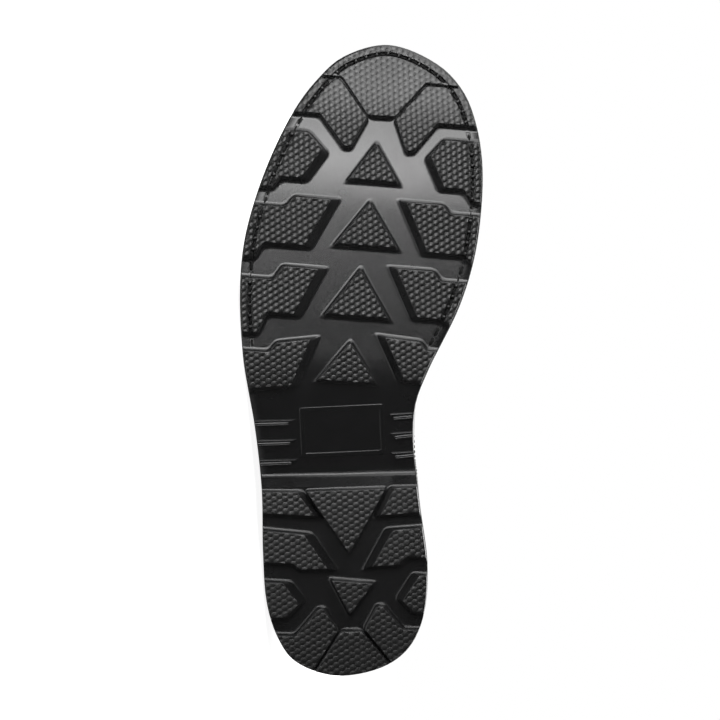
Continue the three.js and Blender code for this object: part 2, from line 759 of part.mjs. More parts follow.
// Outward directions of the grid's points.
const formNormals = formGrid.map((row, i) =>
  row.map((p, j) => {
    if (i === 0) return new THREE.Vector3(0, 1, 0);
    const ahead = formGrid[Math.min(i + 1, formGrid.length - 1)][j];
    const behind = formGrid[i - 1][j];
    const wraps = i >= cornerRow;
    const left = row[j > 0 ? j - 1 : wraps ? columns - 1 : 0];
    const right = row[j < columns ? j + 1 : wraps ? 1 : columns];
    const normal = new THREE.Vector3().crossVectors(right.clone().sub(left), ahead.clone().sub(behind));
    return normal.normalize();
  }),
);

// Which diagonal of each of the grid's four-sided cells is the shorter one.
const backDiagonal = formGrid.slice(1).map((row, i) =>
  row.slice(1).map((p, j) => formGrid[i][j].distanceTo(p) > formGrid[i][j + 1].distanceTo(row[j])),
);

// The form as a closed solid, moved out by an offset, with a skirt hanging under its foot.
function formSolid(offset, skirt = 0) {
  const rows = formGrid.map((row, i) => {
    const onSole = i <= cornerRow;
    const moved = row.map((p, j) => {
      const q = p.clone().addScaledVector(formNormals[i][j], offset);
      if (i === 0 || (onSole && (j === 0 || j === columns))) q.z = soleTopUp(q.y) + formStand;
      return q;
    });
    if (!skirt) return moved;
    const hung = (p) => (onSole ? new THREE.Vector3(p.x, p.y, p.z - skirt) : p.clone());
    return [hung(moved[0]), ...moved, hung(moved[columns])];
  });
  const n = rows[0].length;
  const last = n - 1;
  const hem = skirt ? 1 : 0;
  const faces = [];
  const quad = (a, b, c, d) => faces.push([a, b, c], [a, c, d]);
  for (let i = 0; i < rows.length - 1; i++) {
    for (let j = 0; j < last; j++) {
      const [a, b, c, d] = [i * n + j, i * n + j + 1, (i + 1) * n + j + 1, (i + 1) * n + j];
      if (backDiagonal[i][j - hem]) quad(b, c, d, a);
      else quad(a, b, c, d);
    }
    quad(i * n + last, i * n, (i + 1) * n, (i + 1) * n + last);
  }
  const end = (rows.length - 1) * n;
  for (let j = 0; j < last / 2; j++) quad(end + j, end + j + 1, end + last - j - 1, end + last - j);
  return solidOfFaces(rows.flat(), faces);
}

// A place on the form's face by section and by distance from the ridge, with its outward normal.
function facePoint(at, fromRidge) {
  const s = sectionAt(at);
  const side = fromRidge >= 0 ? 0 : 1;
  const ratio = clamp01(fromRidge / (s.widest[side] - s.ridge));
  const high = (1 - ratio ** s.square) ** (1 / s.square);
  const share = mix(s.level, 1, high);
  return new THREE.Vector3(
    s.ridge + fromRidge,
    mix(s.foot[0], s.top[0], share),
    mix(s.foot[1], s.top[1], share),
  );
}

function faceNormal(at, fromRidge) {
  const along = facePoint(at + 0.1, fromRidge).sub(facePoint(at - 0.1, fromRidge));
  const across = facePoint(at, fromRidge - 0.5).sub(facePoint(at, fromRidge + 0.5));
  const normal = along.cross(across).normalize();
  return normal.z > 0 ? normal : normal.negate();
}

const faceAbove = (at, fromRidge, height) =>
  facePoint(at, fromRidge).addScaledVector(faceNormal(at, fromRidge), height);

// Bars of space over a stretch of the ridge, used to cut the throat, tongue and eyestays.
function ridgeBand(from, to, steps, inner, outer, low = 0.55, high = 1.3) {
  const sections = [];
  for (let k = 0; k <= steps; k++) {
    const at = mix(from, to, k / steps);
    const s = sectionAt(at);
    const place = (x, share) =>
      new THREE.Vector3(s.ridge + x, mix(s.foot[0], s.top[0], share), mix(s.foot[1], s.top[1], share));
    const [a, b] = [inner(at), outer(at)];
    sections.push([place(a, low), place(b, low), place(b, high), place(a, high)]);
  }
  return barSolid(sections);
}

const throatAt = 2.3; // the section where the throat begins
const throatTopAt = 12.6; // and about where it meets the collar
const throatWidth = (at) => {
  const opening = Math.sqrt(clamp01((at - throatAt) / 0.35 + 0.06));
  return (throatHalf + throatFlare * clamp01((at - throatAt) / (throatTopAt - throatAt))) * opening;
};

const wide = ballWidth;
const collarSlope = (collarFront - collarBack) / (0.4 * soleLength);
const collarUp = (y) => collarBack + collarSlope * (y - 0.03 * soleLength);
const behindHeel = -0.2 * soleLength;
const aheadOfShaft = 0.6 * soleLength;

// Everything over the collar's line, raised or lowered.
const overCollar = (raise) =>
  sidePrism(
    [
      [behindHeel, collarUp(behindHeel) + raise],
      [aheadOfShaft, collarUp(aheadOfShaft) + raise],
      [aheadOfShaft, 3 * collarFront],
      [behindHeel, 3 * collarFront],
    ],
    wide,
  );

// Where the quarters end over the vamp: a curve from the throat down to the welt.
const quarterEdge = [
  [0.69, 0.52],
  [0.664, 0.43],
  [0.63, 0.37],
  [0.585, 0.31],
  [0.545, 0.24],
  [0.52, 0.16],
  [0.508, 0],
];
const quarterSpace = () =>
  sidePrism(
    [
      ...quarterEdge.map(([along, up]) => [along * soleLength, up * collarFront]),
      [behindHeel, 0],
      [behindHeel, 2 * collarFront],
      [0.69 * soleLength, 2 * collarFront],
    ],
    wide,
  );

function upperSolid() {
  const outer = formSolid(0).add(formSolid(quarterStep).intersect(quarterSpace()));
  const throat = ridgeBand(throatAt, lastAt, 12, (at) => -throatWidth(at), throatWidth);
  return outer.subtract(formSolid(-leather, 8)).subtract(throat).subtract(overCollar(0));
}

const overWelt = () => {
  const ring = inset(soleRing, -0.1 * ballWidth);
  const weltTop = formStand + weltThickness + clearance;
  return plateSolid([
    { ring, up: (y) => soleTopUp(y) + weltTop },
    { ring, up: (y) => soleTopUp(y) + 2 * collarFront },
  ]);
};

const shell = (inner, thickness) => formSolid(inner + thickness).subtract(formSolid(inner));

function weltSolid() {
  const ring = inset(soleRing, weltInset);
  const level = (height) => (y) => soleTopUp(y) + clearance + height;
  const plate = plateSolid([
    { ring, up: level(0) },
    { ring, up: level(weltThickness) },
  ]);
  return plate.subtract(formSolid(quarterStep + clearance, 8));
}

function insoleSolid() {
  const ring = inset(soleRing, (y) => reveal(y) + leather + insoleGap);
  return plateSolid([
    { ring, up: (y) => soleTopUp(y) + clearance },
    { ring, up: (y) => soleTopUp(y) + clearance + insoleThickness },
  ]);
}

// A toe cap of leather over the steel one, its edge curved back at the sides.
const toeCapEdge = [
  [0.806, 0.6],
  [0.8, 0.38],
  [0.79, 0.3],
  [0.772, 0.2],
  [0.752, 0],
];
function toeCapSolid() {
  const ahead = 1.1 * soleLength;
  const space = sidePrism(
    [
      ...toeCapEdge.map(([along, up]) => [along * soleLength, up * collarFront]),
      [ahead, 0],
      [ahead, 0.6 * collarFront],
    ],
    wide,
  );
  return shell(clearance, overlayThickness).intersect(space).intersect(overWelt());
}

const counterEdge = [
  [0.285, 0],
  [0.275, 0.2],
  [0.235, 0.34],
  [0.17, 0.44],
  [0.09, 0.485],
  [0.05, 0.5],
];
function heelCounterSolid() {
  const space = sidePrism(
    [
      ...counterEdge.map(([along, up]) => [along * soleLength, up * collarFront]),
      [behindHeel, 0.5 * collarFront],
      [behindHeel, 0],
    ],
    wide,
  );
  return shell(quarterStep + clearance, overlayThickness).intersect(space).intersect(overWelt());
}

function collarSolid() {
  const open = ridgeBand(throatAt, lastAt, 8, (at) => -throatWidth(at) - eyestayWidth - clearance, (at) =>
    throatWidth(at) + eyestayWidth + clearance,
  );
  return shell(quarterStep + clearance, collarPadding)
    .intersect(overCollar(-collarDepth))
    .subtract(overCollar(0))
    .subtract(open);
}

const backstayHalf = 13;
function backstaySolid() {
  const low = 0.5 * collarFront + clearance;
  const strip = new THREE.BoxGeometry(2 * backstayHalf, 0.3 * soleLength, collarFront);
  strip.translate(featherHeel.x, 0, low + collarFront / 2);
  return shell(quarterStep + clearance, overlayThickness)
    .intersect(solidOf(strip))
    .subtract(overCollar(-collarDepth - clearance));
}

function eyestaySolid(side) {
  const inner = (at) => side * (throatWidth(at) + clearance);
  const outer = (at) => side * (throatWidth(at) + eyestayWidth);
  return shell(quarterStep + clearance, overlayThickness)
    .intersect(ridgeBand(throatAt + 0.12, throatTopAt + 2, 8, inner, outer))
    .subtract(overCollar(-clearance));
}

function tongueSolid() {
  const flared = (at) => clamp01((at - throatAt) / (throatTopAt - throatAt));
  const half = (at) => throatHalf + tongueLap + throatFlare * flared(at);
  const body = shell(-leather - clearance - tongueThickness, tongueThickness);
  return body
    .intersect(ridgeBand(throatAt - 0.7, lastAt - 0.2, 9, (at) => -half(at), half, 0.5, 1.4))
    .subtract(overCollar(tongueRise));
}

// Eyelets, evenly spaced along the throat.
const eyeletFromRidge = (at) => throatWidth(at) + 0.42 * eyestayWidth;
const eyeletSeat = quarterStep + clearance + overlayThickness + 2 * clearance;
const firstEyeletAt = throatAt + 0.75;
const lastEyeletAt = throatTopAt - 1.6;

// Sections whose places on the ridge are evenly spaced.
const eyeletAts = (() => {
  const steps = 60;
  const path = [0];
  for (let k = 1; k <= steps; k++) {
    const here = facePoint(mix(firstEyeletAt, lastEyeletAt, k / steps), 0);
    const before = facePoint(mix(firstEyeletAt, lastEyeletAt, (k - 1) / steps), 0);
    path.push(path[k - 1] + here.distanceTo(before));
  }
  return Array.from({ length: eyeletPairs }, (_, i) => {
    const want = (path[steps] * i) / (eyeletPairs - 1);
    const k = Math.max(1, path.findIndex((d) => d >= want - 1e-9));
    const part = (want - path[k - 1]) / (path[k] - path[k - 1]);
    return mix(firstEyeletAt, lastEyeletAt, (k - 1 + part) / steps);
  });
})();

function eyeletGeometry() {
  const bevel = eyeletThickness / 2;
  const profile = [
    [eyeletHole, 0],
    [eyeletRadius, 0],
    [eyeletRadius - bevel, eyeletThickness],
    [eyeletHole + bevel / 2, eyeletThickness],
    [eyeletHole, 0],
  ].map(([r, z]) => new THREE.Vector2(r, z));
  return new THREE.LatheGeometry(profile, 7);
}

// One lace stretch between two eyelets, over the throat.
function laceStretch(fromAt, fromSide, toAt, toSide, lift) {
  const rim = eyeletSeat + eyeletThickness + 3 * clearance + laceRadius;
  const dip = 0.8;
  const steps = 6;
  const points = [];
  for (let k = 0; k <= steps; k++) {
    const t = k / steps;
    const at = mix(fromAt, toAt, t);
    const across = mix(fromSide * eyeletFromRidge(fromAt), toSide * eyeletFromRidge(toAt), t);
    const over = Math.sin(Math.PI * t) ** 0.7;
    points.push(faceAbove(at, across, rim + (lift - dip) * over));
  }
  const section = new THREE.Shape(
    Array.from({ length: laceFlats }, (_, k) => {
      const turn = (k / laceFlats) * 2 * Math.PI;
      return new THREE.Vector2(laceRadius * Math.cos(turn), laceRadius * Math.sin(turn));
    }),
  );
  const path = new THREE.CatmullRomCurve3(points);
  return solidOf(new THREE.ExtrudeGeometry(section, { steps: 4, extrudePath: path, bevelEnabled: false }));
}

const density = { rubber: 1.15, leather: 0.95, welt: 1.1, lining: 0.3, cord: 0.8, metal: 8.5 };
const coloured = (name, color, roughness, metalness = 0) =>
  new THREE.MeshStandardMaterial({ name, color, roughness, metalness });
const colours = {
  rubber: coloured("rubber", 0x1c1c1d, 0.55),
  leather: coloured("leather", 0x1d1b1a, 0.5),
  welt: coloured("welt", 0x171514, 0.6),
  lining: coloured("lining", 0x2a2a2b, 0.9),
  cord: coloured("cord", 0x141414, 0.8),
  metal: coloured("metal", 0x3a3a3c, 0.35, 0.9),
};

const boot = new THREE.Group();
function addPiece(name, geometry, material) {
  const mesh = new THREE.Mesh(geometry, material);
  mesh.name = name;
  boot.add(mesh);
  return mesh;
}
const addSolid = (name, solid, material) => addPiece(name, geometryOf(solid), material);

addSolid("outsole", outsoleSolid(), colours.rubber);
addSolid("welt", weltSolid(), colours.welt);
addSolid("insole", insoleSolid(), colours.lining);
addSolid("upper", upperSolid(), colours.leather);
addSolid("toe_cap", toeCapSolid(), colours.leather);
addSolid("heel_counter", heelCounterSolid(), colours.leather);
addSolid("backstay", backstaySolid(), colours.leather);
addSolid("collar", collarSolid(), colours.leather);
addSolid("eyestay_lateral", eyestaySolid(1), colours.leather);
addSolid("eyestay_medial", eyestaySolid(-1), colours.leather);
addSolid("tongue", tongueSolid(), colours.leather);

eyeletAts.forEach((at, i) => {
  for (const [side, word] of [
    [1, "lateral"],
    [-1, "medial"],
  ]) {
    const eyelet = addPiece(`eyelet_${word}_${i + 1}`, eyeletGeometry(), colours.metal);
    const across = side * eyeletFromRidge(at);
    eyelet.position.copy(faceAbove(at, across, eyeletSeat));
    eyelet.quaternion.setFromUnitVectors(new THREE.Vector3(0, 1, 0), faceNormal(at, across));
  }
});

const laceStretches = [laceStretch(eyeletAts[0], 1, eyeletAts[0], -1, 0)];
for (let i = 0; i < eyeletPairs - 1; i++) {
  laceStretches.push(laceStretch(eyeletAts[i], 1, eyeletAts[i + 1], -1, laceRadius));
  laceStretches.push(laceStretch(eyeletAts[i], -1, eyeletAts[i + 1], 1, 0));
}
addSolid("laces", joined(laceStretches), colours.cord);

// Where the boot comes to rest: the hull's face under its centre of mass, rolled onto from the
// lateral side.
function restFace() {
  boot.updateMatrixWorld(true);
  const points = [];
  const centre = new THREE.Vector3();
  let total = 0;
  for (const mesh of boot.children) {
    const geometry = mesh.geometry.index ? mesh.geometry.toNonIndexed() : mesh.geometry;
    const place = geometry.getAttribute("position");
    const corners = [];
    for (let i = 0; i < place.count; i++)
      corners.push(new THREE.Vector3().fromBufferAttribute(place, i).applyMatrix4(mesh.matrixWorld));
    for (let i = 0; i < corners.length; i += 3) {
      const [a, b, c] = corners.slice(i, i + 3);
      const weight = (a.dot(b.clone().cross(c)) / 6) * density[mesh.material.name];
      centre.addScaledVector(a.clone().add(b).add(c), weight / 4);
      total += weight;
    }
    points.push(...corners);
  }
  centre.divideScalar(total);
  const hull = new ConvexHull().setFromPoints(points);
  const under = (direction) => {
    const reach = (face) => {
      const closing = face.normal.dot(direction);
      return closing > 0 ? (face.constant - face.normal.dot(centre)) / closing : Infinity;
    };
    return hull.faces.reduce((best, face) => (reach(face) < reach(best) ? face : best));
  };
  let face = under(new THREE.Vector3(1, 0, 0));
  for (let next = under(face.normal); next !== face; next = under(face.normal)) face = next;
  return { down: face.normal.clone(), points };
}

// Laid down: the toe towards -X, the sole facing -Y, the floor at Z = 0 and the origin under
// the middle of the whole.
const rest = restFace();
const upwards = rest.down.clone().negate();
const heelward = new THREE.Vector3(0, -1, 0).projectOnPlane(upwards).normalize();
const lidward = new THREE.Vector3().crossVectors(upwards, heelward);
const turn = new THREE.Matrix4().makeBasis(heelward, lidward, upwards).transpose();
boot.quaternion.setFromRotationMatrix(turn);
const laid = new THREE.Box3().setFromPoints(rest.points.map((p) => p.clone().applyMatrix4(turn)));
const middle = laid.getCenter(new THREE.Vector3());
boot.position.set(-middle.x, -middle.y, -laid.min.z);

export default boot;
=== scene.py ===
"""Looks of a black lace-up steel toe work boot, lying on its side with its sole to the camera."""

import math

import bmesh
import bpy
import numpy as np
from mathutils import Matrix, Vector


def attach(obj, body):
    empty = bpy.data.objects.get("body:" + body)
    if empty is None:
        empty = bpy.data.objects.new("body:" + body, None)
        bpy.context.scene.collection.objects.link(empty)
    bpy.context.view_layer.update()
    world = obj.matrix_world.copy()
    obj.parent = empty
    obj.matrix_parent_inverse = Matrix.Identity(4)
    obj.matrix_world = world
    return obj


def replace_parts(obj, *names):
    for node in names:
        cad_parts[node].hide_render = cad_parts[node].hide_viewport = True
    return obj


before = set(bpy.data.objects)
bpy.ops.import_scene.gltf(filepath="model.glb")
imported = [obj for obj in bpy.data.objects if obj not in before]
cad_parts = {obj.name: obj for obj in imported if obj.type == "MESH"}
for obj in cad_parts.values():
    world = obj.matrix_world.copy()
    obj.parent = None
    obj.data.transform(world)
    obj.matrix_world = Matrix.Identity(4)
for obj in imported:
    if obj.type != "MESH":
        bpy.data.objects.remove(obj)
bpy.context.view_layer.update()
MM = 0.001

# The boot standing, in millimetres: X towards the little toe, Y from heel to toe, Z up.
SOLE_LENGTH = 310.0
BALL_WIDTH = 115.0
HEEL_TOP = 27.0
BALL_TOP = 11.0
TOE_SPRING = 11.0
LUG_DEPTH = 4.4
BALL_RISE = 3.5
SHANK_THICKNESS = 9.0
LUG_INSET = 0.6
WELT_REVEAL = 7.4
HEEL_REVEAL = 5.0
COLLAR_FRONT = 178.0
COLLAR_BACK = 166.0
TOE_BOX_HEIGHT = 57.0

# How the standing boot is laid down: the toe lifted, the sole leaning back, and its origin.
TOE_LIFT = math.radians(9.4975)
SOLE_LEAN = math.radians(0.7375)
ORIGIN = Vector((151.961, -96.235, 32.202))

up_axis = Vector((
    -math.cos(TOE_LIFT) * math.cos(SOLE_LEAN),
    math.sin(TOE_LIFT) * math.cos(SOLE_LEAN),
    -math.sin(SOLE_LEAN),
))
heel_axis = Vector((0, -1, 0)) - up_axis * up_axis.dot(Vector((0, -1, 0)))
heel_axis.normalize()
TURN = Matrix((heel_axis, up_axis.cross(heel_axis), up_axis))


def laid(points):
    """Standing points in millimetres, as row frame points in metres."""
    return (np.asarray(points, float).reshape(-1, 3) @ np.array(TURN).T + np.array(ORIGIN)) * MM


# Numbers and curves.
def clamp01(x):
    return np.clip(x, 0.0, 1.0)


def mix(a, b, t):
    return a + (b - a) * t


def ease(start, end, x):
    t = clamp01((x - start) / (end - start))
    return t * t * (3 - 2 * t)


def follow(rows, key, column, place):
    """A smooth value of one column of a table at a place along its first column."""
    last = len(rows) - 1
    p = min(rows[last][key], max(rows[0][key], place))
    i = 0
    while i < last - 1 and rows[i + 1][key] < p:
        i += 1

    def slope(a, b):
        return (rows[b][column] - rows[a][column]) / (rows[b][key] - rows[a][key])

    step = rows[i + 1][key] - rows[i][key]
    t = (p - rows[i][key]) / step
    here = slope(i, i + 1)
    before = (slope(i - 1, i) + here) / 2 if i > 0 else here
    after = (slope(i + 1, i + 2) + here) / 2 if i < last - 1 else here
    return (
        rows[i][column] * (2 * t**3 - 3 * t**2 + 1)
        + before * step * (t**3 - 2 * t**2 + t)
        + rows[i + 1][column] * (3 * t**2 - 2 * t**3)
        + after * step * (t**3 - t**2)
    )


def table(columns, *values):
    return [dict(zip(columns.split(), row)) for row in values]


# The sole's outline, in shares of its length and of the ball width.
OUTLINE = table(
    "at lateral medial",
    (0.019, 0.191, 0.191), (0.052, 0.266, 0.296), (0.103, 0.324, 0.349), (0.181, 0.357, 0.35),
    (0.284, 0.384, 0.293), (0.387, 0.436, 0.242), (0.439, 0.472, 0.243), (0.49, 0.504, 0.283),
    (0.594, 0.539, 0.394), (0.671, 0.537, 0.441), (0.748, 0.499, 0.455), (0.826, 0.435, 0.443),
    (0.89, 0.361, 0.4), (0.935, 0.284, 0.339), (0.974, 0.185, 0.226),
)
HEEL_TIP = 0.013
TOE_TIP = -0.007


def smooth_loop(points, per_span=28):
    """A closed centripetal curve through points in the plane."""
    p = np.asarray(points, float)
    n = len(p)
    made = []
    for i in range(n):
        a, b, c, d = p[i - 1], p[i], p[(i + 1) % n], p[(i + 2) % n]
        da, db, dc = (math.sqrt(np.linalg.norm(v - u)) for u, v in ((a, b), (b, c), (c, d)))
        start = ((b - a) / da - (c - a) / (da + db) + (c - b) / db) * db
        end = ((c - b) / db - (d - b) / (db + dc) + (d - c) / dc) * db
        for k in range(per_span):
            t = k / per_span
            made.append(
                b + start * t + (3 * (c - b) - 2 * start - end) * t**2 + (2 * (b - c) + start + end) * t**3
            )
    return np.array(made)


outline_points = (
    [(HEEL_TIP * BALL_WIDTH, 0)]
    + [(r["lateral"] * BALL_WIDTH, r["at"] * SOLE_LENGTH) for r in OUTLINE]
    + [(TOE_TIP * BALL_WIDTH, SOLE_LENGTH)]
    + [(-r["medial"] * BALL_WIDTH, r["at"] * SOLE_LENGTH) for r in reversed(OUTLINE)]
)
outline = smooth_loop(outline_points)
heel_at, toe_at = outline[outline[:, 1].argmin()], outline[outline[:, 1].argmax()]
middle_x = heel_at[0] + (toe_at[0] - heel_at[0]) * (outline[:, 1] - heel_at[1]) / (toe_at[1] - heel_at[1])


def side_of(points, sign):
    kept = points[sign * (points[:, 0] - middle_x) >= -1e-6]
    return kept[kept[:, 1].argsort()]


lateral_side, medial_side = side_of(outline, 1), side_of(outline, -1)


def edge_x(side, y):
    return float(np.interp(y, side[:, 1], side[:, 0]))


HEEL_ROUND = 0.16 * SOLE_LENGTH
TOE_ROUND = 0.2 * SOLE_LENGTH
stations = (
    [HEEL_ROUND * (1 - math.cos(i / 18 * math.pi / 2)) for i in range(18)]
    + [mix(HEEL_ROUND, SOLE_LENGTH - TOE_ROUND, i / 44) for i in range(44)]
    + [SOLE_LENGTH - TOE_ROUND * (1 - math.sin(i / 22 * math.pi / 2)) for i in range(23)]
)
TIPS = len(stations) - 1
RING = 2 * TIPS
sole_ring = np.array(
    [(edge_x(lateral_side, y), y) for y in stations]
    + [(edge_x(medial_side, y), y) for y in reversed(stations[1:-1])]
)


def inset(ring, distance):
    """A closed ring moved inwards by one distance, or by one that depends on the place."""
    along = np.roll(ring, -1, 0) - np.roll(ring, 1, 0)
    along /= np.linalg.norm(along, axis=1)[:, None]
    d = distance(ring[:, 1]) if callable(distance) else distance
    return ring + np.stack([-along[:, 1] * d, along[:, 0] * d], 1)


# Heights along the sole.
def spring_up(y):
    return TOE_SPRING * clamp01((y / SOLE_LENGTH - 0.73) / 0.27) ** 2


def sole_top_up(y):
    return mix(HEEL_TOP, BALL_TOP, ease(0.16, 0.6, y / SOLE_LENGTH)) + spring_up(y)


def tread_up(y):
    rock = BALL_RISE * clamp01((0.54 - y / SOLE_LENGTH) / 0.11) ** 2
    return np.where(y < 0.36 * SOLE_LENGTH, 0.0, rock + spring_up(y))


def slab_under_up(y):
    low = mix(sole_top_up(y) - SHANK_THICKNESS, LUG_DEPTH + spring_up(y), ease(0.4, 0.56, y / SOLE_LENGTH))
    return np.maximum(low, LUG_DEPTH)


def lug_root_up(y):
    return np.where(y < 0.33 * SOLE_LENGTH, LUG_DEPTH, slab_under_up(y))


# Meshes.
def add_mesh(name, points, faces, material, slot, sharp=35):
    """A piece made of standing points in millimetres, its faces turned outwards."""
    mesh = bpy.data.meshes.new(name)
    mesh.from_pydata([tuple(p) for p in laid(points)], [], [tuple(int(i) for i in f) for f in faces])
    turned = bmesh.new()
    turned.from_mesh(mesh)
    bmesh.ops.recalc_face_normals(turned, faces=turned.faces)
    turned.to_mesh(mesh)
    turned.free()
    return add_piece(name, mesh, material, sharp)


def add_piece(name, mesh, material, sharp=35):
    mesh.validate()
    mesh.materials.append(material)
    mesh.shade_smooth()
    mesh.set_sharp_from_angle(angle=math.radians(sharp))
    piece = bpy.data.objects.new(name, mesh)
    bpy.context.scene.collection.objects.link(piece)
    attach(piece, "root")
    return piece


class Loft:
    """Rings of as many points each, joined by quads."""

    def __init__(self):
        self.points, self.faces, self.last = [], [], None

    def ring(self, points):
        start = len(self.points)
        self.points += [tuple(p) for p in points]
        here = list(range(start, start + len(points)))
        if self.last:
            n = len(here)
            for i in range(n):
                j = (i + 1) % n
                self.faces.append((self.last[i], self.last[j], here[j], here[i]))
        self.last = here
        return here


def tube(rings, around):
    """Quads that join rings of as many points each."""
    return [
        (k * around + i, k * around + j, (k + 1) * around + j, (k + 1) * around + i)
        for k in range(rings - 1)
        for i, j in zip(range(around), [*range(1, around), 0])
    ]


def capped(rings, around):
    """The same, with both ends closed."""
    last = (rings - 1) * around
    return [*tube(rings, around), tuple(reversed(range(around))), tuple(range(last, last + around))]


def run_along(path):
    """How far along a path each of its points is."""
    return np.concatenate([[0], np.cumsum(np.linalg.norm(np.diff(path, axis=0), axis=1))])


def at_run(where, run, path):
    return np.array([np.interp(where, run, column) for column in path.T])


def raised(ring, up):
    """Plane points with the height that a law gives at each place."""
    ring = np.asarray(ring)
    height = up(ring[:, 1]) if callable(up) else np.full(len(ring), float(up))
    return np.column_stack([ring, height])


# Materials.
def material(name, color, roughness, build=None, **values):
    made = bpy.data.materials.new(name)
    made.use_nodes = True
    tree = made.node_tree
    shader = tree.nodes["Principled BSDF"]
    shader.inputs["Base Color"].default_value = (*color, 1)
    shader.inputs["Roughness"].default_value = roughness
    for key, value in values.items():
        shader.inputs[key.replace("_", " ")].default_value = value
    if build:
        build(tree, shader)
    return made


def texture(tree, kind, scale, **settings):
    """A texture node read in the object's own metres; scale is how many cells a metre."""
    coordinates = tree.nodes.new("ShaderNodeTexCoord")
    node = tree.nodes.new(f"ShaderNodeTex{kind}")
    node.inputs["Scale"].default_value = scale
    tree.links.new(coordinates.outputs["Object"], node.inputs["Vector"])
    for key, value in settings.items():
        if hasattr(node, key):
            setattr(node, key, value)
        else:
            node.inputs[key.replace("_", " ")].default_value = value
    return node


def ramp(tree, source, low, high, start=0.0, end=1.0):
    """Maps a value onto two greys or colours."""
    node = tree.nodes.new("ShaderNodeValToRGB")
    for element, place, value in zip(node.color_ramp.elements, (start, end), (low, high)):
        element.position = place
        element.color = (*value, 1) if hasattr(value, "__len__") else (value, value, value, 1)
    tree.links.new(source, node.inputs[0])
    return node.outputs[0]


def bump(tree, shader, sources, distance):
    """Height maps laid on each other, with a strength each."""
    before = None
    for source, strength in sources:
        node = tree.nodes.new("ShaderNodeBump")
        node.inputs["Strength"].default_value = strength
        node.inputs["Distance"].default_value = distance
        tree.links.new(source, node.inputs["Height"])
        if before:
            tree.links.new(before, node.inputs["Normal"])
        before = node.outputs["Normal"]
    tree.links.new(before, shader.inputs["Normal"])


def rubber_look(grain, low, high, dust=0.0):
    def build(tree, shader):
        fine = texture(tree, "Noise", 2600, Detail=4)
        broad = texture(tree, "Noise", 38, Detail=5)
        bump(tree, shader, [(fine.outputs[0], grain), (broad.outputs[0], 0.06)], 0.0002)
        tree.links.new(ramp(tree, broad.outputs[0], low, high, 0.3, 0.7), shader.inputs["Roughness"])
        if dust:
            base = np.array(shader.inputs["Base Color"].default_value[:3])
            spots = texture(tree, "Noise", 120, Detail=8)
            pale = ramp(tree, spots.outputs[0], tuple(base), tuple(base * (1 + dust)), 0.45, 0.75)
            tree.links.new(pale, shader.inputs["Base Color"])

    return build


rubber_base = material(
    "sole_rubber", (0.008, 0.008, 0.0084), 0.42, rubber_look(0.1, 0.23, 0.28, 0.4), Sheen_Weight=0.12,
)
rubber_tread = material(
    "tread_rubber", (0.008, 0.008, 0.008), 0.4, rubber_look(0.15, 0.35, 0.44, 0.5), Specular_IOR_Level=0.64,
)
thread_black = material("thread", (0.006, 0.006, 0.006), 0.8)

# The sole's slab: its underside with the stitching groove, its side with a groove, its top.
GROOVE_INSET = 5.0
GROOVE_HALF = 0.75
GROOVE_DEPTH = 1.0
GROOVE_START = 0.5 * SOLE_LENGTH

# The slab's side, with its groove: how far under the top each ring is, and how far inside.
SIDE_RINGS = [(4.8, 0), (4.4, 0.1), (3.8, 0.9), (3.0, 0.9), (2.4, 0.1), (2.0, 0), (0.5, 0), (0.1, 0.4)]


def groove(y):
    return GROOVE_DEPTH * ease(GROOVE_START, GROOVE_START + 4, y)


def slab():
    loft = Loft()
    under = lambda lift=0.0: lambda y: slab_under_up(y) + lift
    floor = loft.ring(raised(inset(sole_ring, 9.0), under()))
    loft.ring(raised(inset(sole_ring, GROOVE_INSET + GROOVE_HALF + 0.3), under()))
    cut = lambda y: slab_under_up(y) + groove(y)
    loft.ring(raised(inset(sole_ring, GROOVE_INSET + GROOVE_HALF), cut))
    loft.ring(raised(inset(sole_ring, GROOVE_INSET - GROOVE_HALF), cut))
    loft.ring(raised(inset(sole_ring, GROOVE_INSET - GROOVE_HALF - 0.3), under()))
    loft.ring(raised(inset(sole_ring, 0.7), under()))
    loft.ring(raised(inset(sole_ring, 0.2), under(0.2)))
    loft.ring(raised(sole_ring, under(0.7)))
    below = lambda drop: lambda y: sole_top_up(y) - drop
    for drop, depth in SIDE_RINGS:
        loft.ring(raised(inset(sole_ring, depth), below(drop)))
    top = loft.ring(raised(inset(sole_ring, 0.8), sole_top_up))
    turned = []
    for ring, flip in ((floor, True), (top, False)):
        for i in range(TIPS):
            quad = (ring[i], ring[i + 1], ring[(RING - i - 1) % RING], ring[(RING - i) % RING])
            turned.append(quad[::-1] if flip else quad)
    return loft.points, loft.faces + turned


sole_base = add_mesh("sole_base", *slab(), rubber_base, "sole")
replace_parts(sole_base, "outsole")

# The tread: each lug's foot as [along, across] shares, lateral positive, as in the source.
BEYOND = 0.62
STEP_RUN = 0.017
SIDE_LUGS = table(
    "side front front_out front_step tip heel back back_out back_step",
    (1, 0.75, 0.733, 0.36, 0.14, 0.25, 0.665, 0.641, 0.468),
    (1, 0.64, 0.618, 0.387, 0.172, 0.274, 0.556, 0.523, 0.428),
    (-1, 0.755, 0.741, 0.311, 0.094, 0.213, 0.669, 0.657, 0.411),
    (-1, 0.65, 0.635, 0.293, 0.073, 0.192, 0.566, 0.56, 0.33),
)
POINTED_LUGS = table(
    "side front front_end tip_at tip back back_end back_out back_step",
    (1, 0.853, 0.298, 0.819, 0.205, 0.77, 0.289, 0.753, 0.416),
    (-1, 0.857, 0.272, 0.821, 0.194, 0.772, 0.264, 0.754, 0.39),
)
MIDDLE_LUGS = table(
    "point centre base half",
    (0.845, 0.011, 0.775, 0.125), (0.753, 0.019, 0.672, 0.153), (0.647, 0.036, 0.561, 0.155),
    (0.531, 0.054, 0.457, 0.15), (0.092, -0.034, 0.155, 0.108),
)


